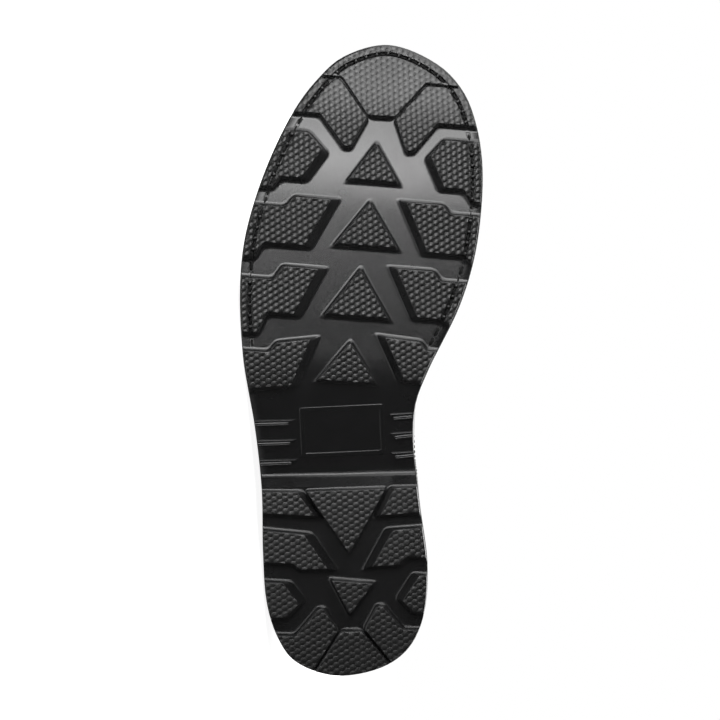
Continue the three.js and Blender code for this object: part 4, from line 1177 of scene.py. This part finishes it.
def form_body(offset, skirt=0.0):
    moved = form_points(offset)
    rows = []
    for i, row in enumerate(moved):
        if skirt:
            drop = np.array((0, 0, skirt if i <= corner_row else 0.0))
            row = np.vstack([row[:1] - drop, row, row[-1:] - drop])
        rows.append(row)
    n = len(rows[0])
    faces = tube(len(rows), n)
    end = (len(rows) - 1) * n
    for j in range((n - 1) // 2):
        faces.append((end + j, end + j + 1, end + n - 2 - j, end + n - 1 - j))
    return body(np.vstack(rows), faces)


def shell(inner, thickness):
    return combine(form_body(inner + thickness), "DIFFERENCE", form_body(inner))


def side_prism(corners, half=BALL_WIDTH):
    n = len(corners)
    points = [(x, along, up) for x in (-half, half) for along, up in corners]
    return body(points, [*tube(2, n), tuple(range(n)), tuple(range(n, 2 * n))])


def ridge_band(start, end, steps, inner, outer, low=0.55, high=1.3):
    points = []
    for k in range(steps + 1):
        at = mix(start, end, k / steps)
        s = section_at(at)
        for x, share in ((inner(at), low), (outer(at), low), (outer(at), high), (inner(at), high)):
            points.append((s["ridge"] + x, *between(s, share)))
    return body(points, capped(steps + 1, 4))


def smooth_path(points, per_span=8):
    """A curve through points, with its ends kept."""
    p = np.asarray(points, float)
    p = np.vstack([2 * p[0] - p[1], p, 2 * p[-1] - p[-2]])
    made = []
    for i in range(1, len(p) - 2):
        for k in range(per_span):
            t = k / per_span
            made.append(0.5 * (
                2 * p[i] + (p[i + 1] - p[i - 1]) * t
                + (2 * p[i - 1] - 5 * p[i] + 4 * p[i + 1] - p[i + 2]) * t**2
                + (3 * p[i] - p[i - 1] - 3 * p[i + 1] + p[i + 2]) * t**3
            ))
    made.append(p[-2])
    return np.array(made)


def real(edge):
    return smooth_path([(along * SOLE_LENGTH, up * COLLAR_FRONT) for along, up in edge])


THROAT_AT = 2.3
THROAT_TOP_AT = 12.6
BEHIND = -0.2 * SOLE_LENGTH
AHEAD = 0.6 * SOLE_LENGTH


def throat_share(at):
    return float(clamp01((at - THROAT_AT) / (THROAT_TOP_AT - THROAT_AT)))


def throat_width(at):
    opening = math.sqrt(float(clamp01((at - THROAT_AT) / 0.35 + 0.06)))
    return (THROAT_HALF + THROAT_FLARE * throat_share(at)) * opening


def collar_up(y):
    return COLLAR_BACK + (COLLAR_FRONT - COLLAR_BACK) / (0.4 * SOLE_LENGTH) * (y - 0.03 * SOLE_LENGTH)


def over_collar(lift):
    return side_prism([
        (BEHIND, collar_up(BEHIND) + lift), (AHEAD, collar_up(AHEAD) + lift),
        (AHEAD, 3 * COLLAR_FRONT), (BEHIND, 3 * COLLAR_FRONT),
    ])


QUARTER_EDGE = real([
    (0.69, 0.52), (0.664, 0.43), (0.63, 0.37), (0.585, 0.31), (0.545, 0.24), (0.52, 0.16), (0.508, 0),
])
TOE_CAP_EDGE = real([(0.806, 0.6), (0.8, 0.38), (0.79, 0.3), (0.772, 0.2), (0.752, 0)])
COUNTER_EDGE = real([(0.285, 0), (0.275, 0.2), (0.235, 0.34), (0.17, 0.44), (0.09, 0.485), (0.05, 0.5)])

quarter_space = side_prism([
    *map(tuple, QUARTER_EDGE),
    (BEHIND, 0), (BEHIND, 2 * COLLAR_FRONT), (0.69 * SOLE_LENGTH, 2 * COLLAR_FRONT),
])
toe_cap_space = side_prism([
    *map(tuple, TOE_CAP_EDGE), (1.1 * SOLE_LENGTH, 0), (1.1 * SOLE_LENGTH, 0.6 * COLLAR_FRONT),
])
counter_space = side_prism([*map(tuple, COUNTER_EDGE), (BEHIND, 0.5 * COLLAR_FRONT), (BEHIND, 0)])


def plate(levels):
    """A body from rings with the sole's stations and a height law each."""
    points = np.vstack([raised(ring, up) for ring, up in levels])
    faces = tube(len(levels), RING)
    for start in (0, (len(levels) - 1) * RING):
        for i in range(TIPS):
            faces.append((start + i, start + i + 1, start + (RING - i - 1) % RING, start + (RING - i) % RING))
    return body(points, faces)


def over_sole(lift):
    """A height law that stays this much over the sole."""
    return lambda y: sole_top_up(y) + lift


WELT = 3.2
wide_ring = inset(sole_ring, -0.1 * BALL_WIDTH)
over_welt = plate([
    (wide_ring, over_sole(FORM_STAND + WELT + CLEARANCE)),
    (wide_ring, over_sole(2 * COLLAR_FRONT)),
])


def throat_cut(margin=0.0):
    reach = lambda at: throat_width(at) + margin
    return ridge_band(THROAT_AT, LAST_AT, 40, lambda at: -reach(at), reach)


def make_piece(name, mesh, material_, nodes=(), sharp=40):
    """A cut body, laid down in metres, that stands for the CAD nodes it is shaped after."""
    points = np.empty(len(mesh.vertices) * 3)
    mesh.vertices.foreach_get("co", points)
    mesh.vertices.foreach_set("co", laid(points).ravel())
    mesh.materials.clear()
    piece = add_piece(name, mesh, material_, sharp)
    if nodes:
        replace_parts(piece, *nodes)
    return piece


def leather_look(tree, shader):
    pebble = texture(tree, "Voronoi", 720, Randomness=1.0)
    fine = texture(tree, "Noise", 3200, Detail=3)
    folds = texture(tree, "Noise", 60, Detail=4)
    grain = [(pebble.outputs["Distance"], 0.3), (fine.outputs[0], 0.12), (folds.outputs[0], 0.25)]
    bump(tree, shader, grain, 0.0004)
    tree.links.new(ramp(tree, folds.outputs[0], 0.34, 0.5, 0.3, 0.7), shader.inputs["Roughness"])
    tone = ramp(tree, folds.outputs[0], (0.012, 0.011, 0.011), (0.022, 0.021, 0.02), 0.35, 0.7)
    tree.links.new(tone, shader.inputs["Base Color"])


def cloth_look(scale):
    def build(tree, shader):
        across = texture(tree, "Wave", scale)
        up = texture(tree, "Wave", scale, bands_direction="Z")
        bump(tree, shader, [(across.outputs[1], 0.4), (up.outputs[1], 0.4)], 0.0003)

    return build


leather = material(
    "leather", (0.016, 0.015, 0.015), 0.42, leather_look, Coat_Weight=0.15, Coat_Roughness=0.3,
)
soft_leather = material("soft_leather", (0.017, 0.016, 0.016), 0.5, leather_look)
lining = material("lining", (0.03, 0.03, 0.032), 0.95, cloth_look(900))
cord = material("cord", (0.012, 0.012, 0.012), 0.75, cloth_look(1500))
metal = material("eyelet_metal", (0.05, 0.05, 0.052), 0.32, rubber_look(0.05, 0.28, 0.4), Metallic=0.9)
welt_rubber = material("welt_rubber", (0.014, 0.013, 0.013), 0.5, rubber_look(0.25, 0.42, 0.55))

# The upper and what lies over it.
quarters = combine(form_body(QUARTER_STEP), "INTERSECT", quarter_space)
upper_outside = combine(form_body(0.0), "UNION", quarters)
upper_cut = combine(upper_outside, "DIFFERENCE", form_body(-LEATHER, 8), throat_cut(), over_collar(0))
upper = make_piece("upper_leather", upper_cut, leather, ["upper"])

over = QUARTER_STEP + CLEARANCE
make_piece(
    "toe_cap_leather", combine(shell(CLEARANCE, OVERLAY), "INTERSECT", toe_cap_space, over_welt),
    leather, ["toe_cap"],
)
make_piece(
    "heel_counter_leather", combine(shell(over, OVERLAY), "INTERSECT", counter_space, over_welt),
    leather, ["heel_counter"],
)
BACKSTAY_HALF = 13.0
BACKSTAY_REACH = (-50, 46)
strip_low = 0.5 * COLLAR_FRONT + CLEARANCE
strip = body(
    [
        (feather_heel[0] + x, y, z)
        for x in (-BACKSTAY_HALF, BACKSTAY_HALF)
        for y, z in zip((*BACKSTAY_REACH, *BACKSTAY_REACH[::-1]), (strip_low, strip_low, 300, 300))
    ],
    [(0, 1, 2, 3), (4, 5, 6, 7), (0, 1, 5, 4), (1, 2, 6, 5), (2, 3, 7, 6), (3, 0, 4, 7)],
)
backstay = combine(shell(over, OVERLAY), "INTERSECT", strip)
backstay = combine(backstay, "DIFFERENCE", over_collar(-COLLAR_DEPTH - CLEARANCE))
make_piece("backstay_leather", backstay, leather, ["backstay"])


# The collar: two sewn rolls of padding.
def collar_swell():
    below = collar_up(form_grid[..., 1]) - form_grid[..., 2]
    t = clamp01(below / COLLAR_DEPTH)
    rolls = np.abs(np.sin(np.pi * 2 * t)) ** 0.6
    return over + 1.1 + (COLLAR_PADDING + 0.4) * rolls


swollen = combine(form_body(collar_swell()), "DIFFERENCE", form_body(over))
collar = combine(swollen, "INTERSECT", over_collar(-COLLAR_DEPTH))
collar = combine(collar, "DIFFERENCE", over_collar(0), throat_cut(EYESTAY_WIDTH + CLEARANCE))
collar_piece = make_piece("collar_padding", collar, soft_leather, ["collar"], sharp=60)

for side, word in ((1, "lateral"), (-1, "medial")):
    band = ridge_band(
        THROAT_AT + 0.12, THROAT_TOP_AT + 2, 40,
        lambda at: side * (throat_width(at) + CLEARANCE),
        lambda at: side * (throat_width(at) + EYESTAY_WIDTH),
    )
    stay = combine(combine(shell(over, OVERLAY), "INTERSECT", band), "DIFFERENCE", over_collar(-CLEARANCE))
    make_piece(f"eyestay_{word}_leather", stay, leather, [f"eyestay_{word}"])


# The tongue, padded and standing over the collar.
def tongue_half(at):
    return THROAT_HALF + TONGUE_LAP + THROAT_FLARE * throat_share(at)


TONGUE_SEAM_UP = 172
TONGUE_SWELL = 2.4


def tongue_swell():
    high = ease(COLLAR_BACK - 60, COLLAR_BACK + 6, form_grid[..., 2])
    seams = 1 - 0.5 * np.exp(-(((form_grid[..., 2] - TONGUE_SEAM_UP) / 2.0) ** 2))
    return -LEATHER - CLEARANCE + TONGUE_SWELL * high * seams


tongue_inside = form_body(-LEATHER - CLEARANCE - TONGUE_THICKNESS)
tongue = combine(form_body(tongue_swell()), "DIFFERENCE", tongue_inside)
tongue = combine(tongue, "INTERSECT", ridge_band(
    THROAT_AT - 0.7, LAST_AT - 0.2, 40, lambda at: -tongue_half(at), tongue_half, 0.5, 1.4,
))
tongue = combine(tongue, "DIFFERENCE", over_collar(TONGUE_RISE))
tongue_piece = make_piece("tongue_padding", tongue, soft_leather, ["tongue"], sharp=60)

# The welt and the insole.
WELT_PROFILE = [
    (1.3, 0), (0.8, 0.5), (0.8, WELT - 0.7), (1.0, WELT - 0.2), (1.5, WELT), (2.9, WELT), (3.1, WELT - 0.5),
    (3.9, WELT - 0.5), (4.1, WELT),
]
welt_body = plate([(inset(sole_ring, depth), over_sole(CLEARANCE + up)) for depth, up in WELT_PROFILE])
welt_cut = combine(welt_body, "DIFFERENCE", form_body(QUARTER_STEP + CLEARANCE, 8))
make_piece("welt_strip", welt_cut, welt_rubber, ["welt"], sharp=30)
insole_ring = inset(sole_ring, lambda y: reveal(y) + LEATHER + 3.4)
insole_body = plate([
    (insole_ring, over_sole(CLEARANCE)),
    (insole_ring, over_sole(CLEARANCE + 3.9)),
    (inset(insole_ring, 0.7), over_sole(CLEARANCE + 4.5)),
])
make_piece("insole_board", insole_body, lining, ["insole"])


# Places on the form's face, for the eyelets and the laces.
def face_point(at, from_ridge):
    s = section_at(at)
    side = 0 if from_ridge >= 0 else 1
    ratio = float(clamp01(from_ridge / (s["widest"][side] - s["ridge"])))
    share = mix(s["level"], 1, (1 - ratio ** s["square"]) ** (1 / s["square"]))
    return np.array((s["ridge"] + from_ridge, *between(s, share)))


def face_normal(at, from_ridge):
    along = face_point(at + 0.1, from_ridge) - face_point(at - 0.1, from_ridge)
    across = face_point(at, from_ridge - 0.5) - face_point(at, from_ridge + 0.5)
    normal = np.cross(along, across)
    normal /= np.linalg.norm(normal)
    return normal if normal[2] > 0 else -normal


def face_above(at, from_ridge, height):
    return face_point(at, from_ridge) + face_normal(at, from_ridge) * height


EYELET_PAIRS = 6
EYELET_SEAT = over + OVERLAY + 2 * CLEARANCE
eyelet_from_ridge = lambda at: throat_width(at) + 0.42 * EYESTAY_WIDTH
first_eyelet_at, last_eyelet_at = THROAT_AT + 0.75, THROAT_TOP_AT - 1.6
ridge_ats = np.linspace(first_eyelet_at, last_eyelet_at, 61)
ridge_run = run_along(np.array([face_point(at, 0) for at in ridge_ats]))
eyelet_ats = [
    float(np.interp(ridge_run[-1] * i / (EYELET_PAIRS - 1), ridge_run, ridge_ats))
    for i in range(EYELET_PAIRS)
]


def lathe(profile, steps):
    """Rings round Z from [radius, height] pairs that close on themselves."""
    points, faces = [], []
    n = len(profile)
    for k in range(steps):
        turn = 2 * math.pi * k / steps
        points += [(r * math.cos(turn), r * math.sin(turn), z) for r, z in profile]
    for k in range(steps):
        for i in range(n):
            j, m = (i + 1) % n, (k + 1) % steps
            faces.append((k * n + i, m * n + i, m * n + j, k * n + j))
    return np.array(points), faces


def frame_of(normal, along=(0, 1, 0)):
    """Columns across, along and out of a face with this normal."""
    n = np.asarray(normal) / np.linalg.norm(normal)
    a = np.asarray(along, float)
    a = a - n * a.dot(n)
    a /= np.linalg.norm(a)
    return np.column_stack([np.cross(a, n), a, n])


class Heap:
    """Many small parts in one mesh."""

    def __init__(self):
        self.points, self.faces, self.count = [], [], 0

    def add(self, points, faces):
        self.points.append(np.asarray(points))
        self.faces += [tuple(i + self.count for i in f) for f in faces]
        self.count += len(points)

    def mesh(self, name, material_, slot, sharp=50):
        return add_mesh(name, np.vstack(self.points), self.faces, material_, slot, sharp)


eyelets = Heap()
EYELET_PROFILE = [
    (2.35, -1.4), (2.35, 0.6), (2.5, 0.95), (2.85, 1.15), (3.4, 1.2), (4.0, 1.0), (4.45, 0.55), (4.6, 0.0),
    (3.2, -0.2), (3.0, -1.4),
]
eyelet_points, eyelet_faces = lathe(EYELET_PROFILE, 28)
eyelet_nodes = []
for number, at in enumerate(eyelet_ats):
    for side, word in ((1, "lateral"), (-1, "medial")):
        across = side * eyelet_from_ridge(at)
        turned = eyelet_points @ frame_of(face_normal(at, across)).T
        eyelets.add(turned + face_above(at, across, EYELET_SEAT), eyelet_faces)
        eyelet_nodes.append(f"eyelet_{word}_{number + 1}")
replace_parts(eyelets.mesh("eyelets", metal, "eyelet"), *eyelet_nodes)


def sweep(path, normals, half_width, half_height, around=12):
    """A flattened cord along a path, its flat side facing along the normals."""
    points = []
    tangents = np.gradient(path, axis=0)
    for p, n, t in zip(path, normals, tangents):
        turn = frame_of(n, t)
        for k in range(around):
            a = 2 * math.pi * k / around
            flat, tall = turn[:, 0] * half_width, turn[:, 2] * half_height
            points.append(p + flat * math.cos(a) + tall * math.sin(a))
    return points, capped(len(path), around)


laces = Heap()
LACE_HALF_WIDTH = 2.3
LACE_HALF_HEIGHT = 1.25
LACE_OVER_EYELET = 2.9


def lace(from_at, from_side, to_at, to_side, lift):
    path, normals = [], []
    steps = 8
    rim = EYELET_SEAT + LACE_OVER_EYELET
    ends = (
        (from_at, from_side * eyelet_from_ridge(from_at)),
        (to_at, to_side * eyelet_from_ridge(to_at)),
    )
    path.append(face_above(*ends[0], EYELET_SEAT - 1.2))
    normals.append(face_normal(*ends[0]))
    for k in range(steps + 1):
        t = 0.04 + 0.92 * k / steps
        at, across = mix(ends[0][0], ends[1][0], t), mix(ends[0][1], ends[1][1], t)
        path.append(face_above(at, across, rim + (lift - 0.8) * math.sin(math.pi * t) ** 0.7))
        normals.append(face_normal(at, across))
    path.append(face_above(*ends[1], EYELET_SEAT - 1.2))
    normals.append(face_normal(*ends[1]))
    path, normals = smooth_path(path, 5), smooth_path(normals, 5)
    laces.add(*sweep(path, normals, LACE_HALF_WIDTH, LACE_HALF_HEIGHT))


lace(eyelet_ats[0], 1, eyelet_ats[0], -1, 0)
for i in range(EYELET_PAIRS - 1):
    lace(eyelet_ats[i], 1, eyelet_ats[i + 1], -1, 2.2)
    lace(eyelet_ats[i], -1, eyelet_ats[i + 1], 1, 0)
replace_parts(laces.mesh("lace_cord", cord, "lace"), "laces")


# Stitches: small threads along lines drawn on the form.
def contours(values, keep):
    """Chains of grid places where a value on the form's grid is zero, kept where a test holds."""
    def cross_at(i0, j0, i1, j1):
        a, b = values[i0, j0], values[i1, j1]
        if (a > 0) == (b > 0):
            return None
        t = a / (a - b)
        return (mix(i0, i1, t), mix(j0, j1, t))

    links = {}
    places = {}
    rows, cols = values.shape
    for i in range(rows - 1):
        for j in range(cols - 1):
            found = []
            a, b, c, d = (i, j), (i, j + 1), (i + 1, j + 1), (i + 1, j)
            for e in ((a, b), (b, c), (d, c), (a, d)):
                place_ = cross_at(*e[0], *e[1])
                if place_ is not None:
                    places[e] = place_
                    found.append(e)
            if len(found) >= 2:
                links.setdefault(found[0], []).append(found[1])
                links.setdefault(found[1], []).append(found[0])
    chains = []
    open_ends = [e for e in links if len(links[e]) == 1] + list(links)
    used = set()
    for start in open_ends:
        if start in used:
            continue
        chain, here = [], start
        while here is not None:
            used.add(here)
            chain.append(places[here])
            here = next((n for n in links[here] if n not in used), None)
        if len(chain) > 2:
            chains.append(np.array(chain))
    return [c for chain in chains for c in split_chain(chain, keep)]


def split_chain(chain, keep):
    points = on_grid(form_grid, chain)
    good = keep(points)
    pieces, run = [], []
    for place_, ok in zip(chain, good):
        if ok:
            run.append(place_)
        else:
            pieces.append(run)
            run = []
    pieces.append(run)
    return [np.array(r) for r in pieces if len(r) > 2]


def on_grid(grid, places):
    places = np.asarray(places)
    i = np.clip(places[:, 0].astype(int), 0, grid.shape[0] - 2)
    j = np.clip(places[:, 1].astype(int), 0, grid.shape[1] - 2)
    u, v = (places[:, 0] - i)[:, None], (places[:, 1] - j)[:, None]
    return (
        grid[i, j] * (1 - u) * (1 - v) + grid[i + 1, j] * u * (1 - v)
        + grid[i, j + 1] * (1 - u) * v + grid[i + 1, j + 1] * u * v
    )


def thread_shape(length, radius, around=6):
    profile = [(-0.5, 0.35), (-0.38, 0.85), (0, 1.0), (0.38, 0.85), (0.5, 0.35)]
    points = []
    for along, r in profile:
        drop = -0.9 * radius * (abs(along) / 0.5) ** 2
        for k in range(around):
            a = 2 * math.pi * k / around
            points.append((r * radius * math.cos(a), along * length, r * radius * math.sin(a) + drop))
    return np.array(points), capped(len(profile), around)


upper_stitches = Heap()
UPPER_THREAD, UPPER_PITCH = thread_shape(2.9, 0.42), 3.7
WELT_THREAD, WELT_PITCH = thread_shape(3.9, 0.55), 4.6


def sew(heap, path, normals, pitch, shape):
    run = run_along(path)
    count = int(run[-1] // pitch)
    if count < 2:
        return
    for d in (np.arange(count) + 0.5) * run[-1] / count:
        along = at_run(min(d + 0.5, run[-1]), run, path) - at_run(max(d - 0.5, 0), run, path)
        turn = frame_of(at_run(d, run, normals), along)
        heap.add(shape[0] @ turn.T + at_run(d, run, path), shape[1])


def sew_along(values, height, keep):
    for chain in contours(values, keep):
        normals = on_grid(form_normals, chain)
        path = on_grid(form_grid, chain) + normals * height
        sew(upper_stitches, path, normals, UPPER_PITCH, UPPER_THREAD)


grid_y, grid_z = form_grid[..., 1], form_grid[..., 2]
above_welt = lambda p: p[:, 2] > sole_top_up(p[:, 1]) + 6
below_collar = lambda p, drop: p[:, 2] < collar_up(p[:, 1]) - drop
ridge_x = np.array([section_at(at)["ridge"] for at in form_sections])
throat_x = np.array([throat_width(at) if at > THROAT_AT else 0.0 for at in form_sections])


def curve_gap(edge):
    """How far ahead of a side-view curve each grid point lies."""
    order = edge[:, 1].argsort()
    return grid_y - np.interp(grid_z, edge[order, 1], edge[order, 0])


top_face = OVERLAY + 0.1
for margin in (2.2, 4.6):
    sew_along(curve_gap(TOE_CAP_EDGE) - margin, CLEARANCE + top_face, above_welt)
    sew_along(
        curve_gap(QUARTER_EDGE) + 1.1 * margin, QUARTER_STEP + 0.1,
        lambda p: above_welt(p) & (p[:, 2] < 0.5 * COLLAR_FRONT) & (p[:, 1] > 0.5 * SOLE_LENGTH - margin),
    )
counter_order = COUNTER_EDGE[:, 0].argsort()
counter_up = np.interp(grid_y, COUNTER_EDGE[counter_order, 0], COUNTER_EDGE[counter_order, 1])
for margin in (2.4, 4.8):
    sew_along(
        grid_z - counter_up + margin, over + top_face,
        lambda p: above_welt(p) & (p[:, 1] < 0.28 * SOLE_LENGTH),
    )
for margin in (2.0, 12.4, 22.0):
    sew_along(
        grid_z - collar_up(grid_y) + margin, over + (0.9 if margin == 12.4 else 2.2),
        lambda p: np.abs(p[:, 0]) > 34 * (p[:, 1] > 0.27 * SOLE_LENGTH),
    )
for side in (1, -1):
    for margin in (2.0, EYESTAY_WIDTH - 2.0):
        gap = side * (form_grid[..., 0] - ridge_x[:, None]) - throat_x[:, None] - margin
        beside = np.where(np.arange(COLUMNS + 1)[None, :] * side < side * COLUMNS / 2 + 1, gap, -1.0)
        sew_along(
            beside, over + top_face - 0.3,
            lambda p: below_collar(p, 2) & (p[:, 1] > 0.3 * SOLE_LENGTH) & (p[:, 1] < 0.66 * SOLE_LENGTH),
        )
for side in (1, -1):
    gap = side * (form_grid[..., 0] - feather_heel[0]) - BACKSTAY_HALF + 2.2
    sew_along(
        gap, over + top_face,
        lambda p: (p[:, 1] < 40) & (p[:, 2] > strip_low + 2) & below_collar(p, COLLAR_DEPTH + 2),
    )
upper_stitches.mesh("upper_stitches", thread_black, "leather")

# The welt's stitching, in the channel on its upper face.
welt_stitches = Heap()
welt_path_ring = inset(sole_ring, 3.5)
welt_path = raised(np.vstack([welt_path_ring, welt_path_ring[:1]]), over_sole(CLEARANCE + WELT - 0.05))
welt_up = np.tile((0.0, 0.0, 1.0), (len(welt_path), 1))
sew(welt_stitches, welt_path, welt_up, WELT_PITCH, WELT_THREAD)
welt_stitches.mesh("welt_stitches", thread_black, "welt")

# The sole's stitching: threads low in the groove, and on the lugs a pad of rubber between two.
STITCH_PITCH = 5.4
PAD_HALF = 0.78
PAD_SHAPE = [(1.0, -2.4), (1.0, 0.0), (0.8, 0.2), (0.5, 0.36), (0.2, 0.42)]
PAD_AROUND = 10
groove_ring = inset(sole_ring, GROOVE_INSET)
groove_order = np.concatenate([
    np.where((groove_ring[:, 1] > GROOVE_START + 2) & (np.arange(RING) <= TIPS))[0],
    np.where((groove_ring[:, 1] > GROOVE_START + 2) & (np.arange(RING) > TIPS))[0],
])
groove_path = groove_ring[groove_order]
groove_run = run_along(groove_path)


def on_lug(spot_):
    return any(
        inside(spot_[None], span)[0] and distance_to(spot_[None], span)[0] > 0.8 for span in channel_spans
    )


def pad():
    ring = [(1.3 * math.cos(a), math.sin(a)) for a in np.arange(PAD_AROUND) / PAD_AROUND * 2 * math.pi]
    points = np.array([(x * r * PAD_HALF, y * r * PAD_HALF, z) for r, z in PAD_SHAPE for x, y in ring])
    return points, capped(len(PAD_SHAPE), PAD_AROUND)


sole_stitches = Heap()
stitch_pads = Heap()
sole_thread, pad_shape = thread_shape(4.5, 0.66), pad()
for number in range(int(2 * groove_run[-1] / STITCH_PITCH)):
    run = number * STITCH_PITCH / 2
    here, ahead = at_run(run, groove_run, groove_path), at_run(run + 0.5, groove_run, groove_path)
    turn = frame_of((0, 0, -1), (*(ahead - here), 0))
    lug_level = float(tread_up(here[1])) + TOP_LEVEL
    if number % 2 == 0:
        level = lug_level + 0.75 * CHANNEL_DEPTH if on_lug(here) else float(slab_under_up(here[1])) + 0.2
        sole_stitches.add(sole_thread[0] @ turn.T + (*here, level), sole_thread[1])
    elif on_lug(here):
        stitch_pads.add(pad_shape[0] @ turn.T + (*here, lug_level), pad_shape[1])
sole_stitches.mesh("sole_stitches", thread_black, "sole")
stitch_pads.mesh("stitch_pads", rubber_tread, "sole")

# Camera: square to the sole, as in the photo; PIXEL is one pixel of it in millimetres.
PIXEL = 0.4856
PHOTO_WIDTH = 720
PHOTO_TURN = math.radians(4.5)
LENS = 150.0
SENSOR = 36.0
aim = Vector((0.94, 154.7, 0.0))


def direction(v):
    return (TURN @ Vector(v)).normalized()


def place(v):
    return (TURN @ Vector(v) + ORIGIN) * MM


camera_data = bpy.data.cameras.new("camera")
camera_data.lens = LENS
camera_data.sensor_width = SENSOR
camera_data.clip_end = 20
camera = bpy.data.objects.new("camera", camera_data)
bpy.context.scene.collection.objects.link(camera)
bpy.context.scene.camera = camera
back = direction((0, 0, -1))
toe, medial = direction((0, 1, 0)), direction((-1, 0, 0))
image_up = toe * math.cos(PHOTO_TURN) - medial * math.sin(PHOTO_TURN)
image_right = toe * math.sin(PHOTO_TURN) + medial * math.cos(PHOTO_TURN)
distance = PHOTO_WIDTH * PIXEL * MM / SENSOR * LENS
spot = place(aim) + back * distance
camera.matrix_world = Matrix.Translation(spot) @ Matrix((image_right, image_up, back)).transposed().to_4x4()


# A white floor that glows with painted light, a world that looks white, and soft lights.
def glowing(name, color, strength):
    made = material(name, color, 0.9)
    shader = made.node_tree.nodes["Principled BSDF"]
    shader.inputs["Emission Color"].default_value = (1, 1, 1, 1)
    shader.inputs["Emission Strength"].default_value = strength
    return made


floor_mesh = bpy.data.meshes.new("floor")
floor_mesh.from_pydata([(-6, -6, 0), (6, -6, 0), (6, 6, 0), (-6, 6, 0)], [], [(0, 1, 2, 3)])
floor_white = glowing("floor_white", (0.6, 0.6, 0.6), 0.85)
floor_tree = floor_white.node_tree
# Painted light: the floor glows at 0.9 near the boot and 1.0 further out, making up for the lamp light that
# falls off away from it.
floor_place = floor_tree.nodes.new("ShaderNodeTexCoord")
floor_reach = floor_tree.nodes.new("ShaderNodeVectorMath")
floor_reach.operation = "LENGTH"
floor_painted_glow = floor_tree.nodes.new("ShaderNodeMapRange")
for socket, value in (("From Min", 0.25), ("From Max", 0.7), ("To Min", 0.9), ("To Max", 1.0)):
    floor_painted_glow.inputs[socket].default_value = value
floor_tree.links.new(floor_place.outputs["Object"], floor_reach.inputs[0])
floor_tree.links.new(floor_reach.outputs["Value"], floor_painted_glow.inputs["Value"])
floor_shader = floor_tree.nodes["Principled BSDF"]
floor_tree.links.new(floor_painted_glow.outputs["Result"], floor_shader.inputs["Emission Strength"])
floor_mesh.materials.append(floor_white)
floor_piece = bpy.data.objects.new("floor", floor_mesh)
bpy.context.scene.collection.objects.link(floor_piece)
floor_piece.visible_diffuse = False
floor_piece.visible_glossy = False

# The world looks white but gives little light, so that the soft lights shape the boot.
WORLD_LIGHT = 0.11
world = bpy.data.worlds.new("world")
bpy.context.scene.world = world
world.use_nodes = True
world_tree = world.node_tree
dim = world_tree.nodes["Background"]
dim.inputs[0].default_value = (1, 1, 1, 1)
dim.inputs[1].default_value = WORLD_LIGHT
white = world_tree.nodes.new("ShaderNodeBackground")
white.inputs[0].default_value = (1, 1, 1, 1)
white.inputs[1].default_value = 1.0
rays = world_tree.nodes.new("ShaderNodeLightPath")
choose = world_tree.nodes.new("ShaderNodeMixShader")
world_tree.links.new(rays.outputs["Is Camera Ray"], choose.inputs[0])
world_tree.links.new(dim.outputs[0], choose.inputs[1])
world_tree.links.new(white.outputs[0], choose.inputs[2])
world_tree.links.new(choose.outputs[0], world_tree.nodes["World Output"].inputs[0])
bpy.context.scene.view_settings.view_transform = "Standard"


def softbox(name, centre, target, size, power):
    data = bpy.data.lights.new(name, "AREA")
    data.shape = "RECTANGLE"
    data.size, data.size_y = size
    data.energy = power
    lamp = bpy.data.objects.new(name, data)
    bpy.context.scene.collection.objects.link(lamp)
    lamp.location = place(centre)
    lamp.rotation_euler = (place(target) - place(centre)).to_track_quat("-Z", "Y").to_euler()
    return lamp


front = softbox("front_toe_light", (90, 562, -880), (50, 395, 0), (0.48, 0.66), 0.86)
front.data.spread = math.radians(46)
softbox("toe_light", (-110, 790, -300), (0, 200, 0), (0.8, 0.4), 3.9)
softbox("side_light", (560, 40, -640), (0, 170, 0), (0.6, 0.6), 1.4)
softbox("back_light", (-300, 0, 1100), (0, 120, 60), (1.2, 1.2), 12)
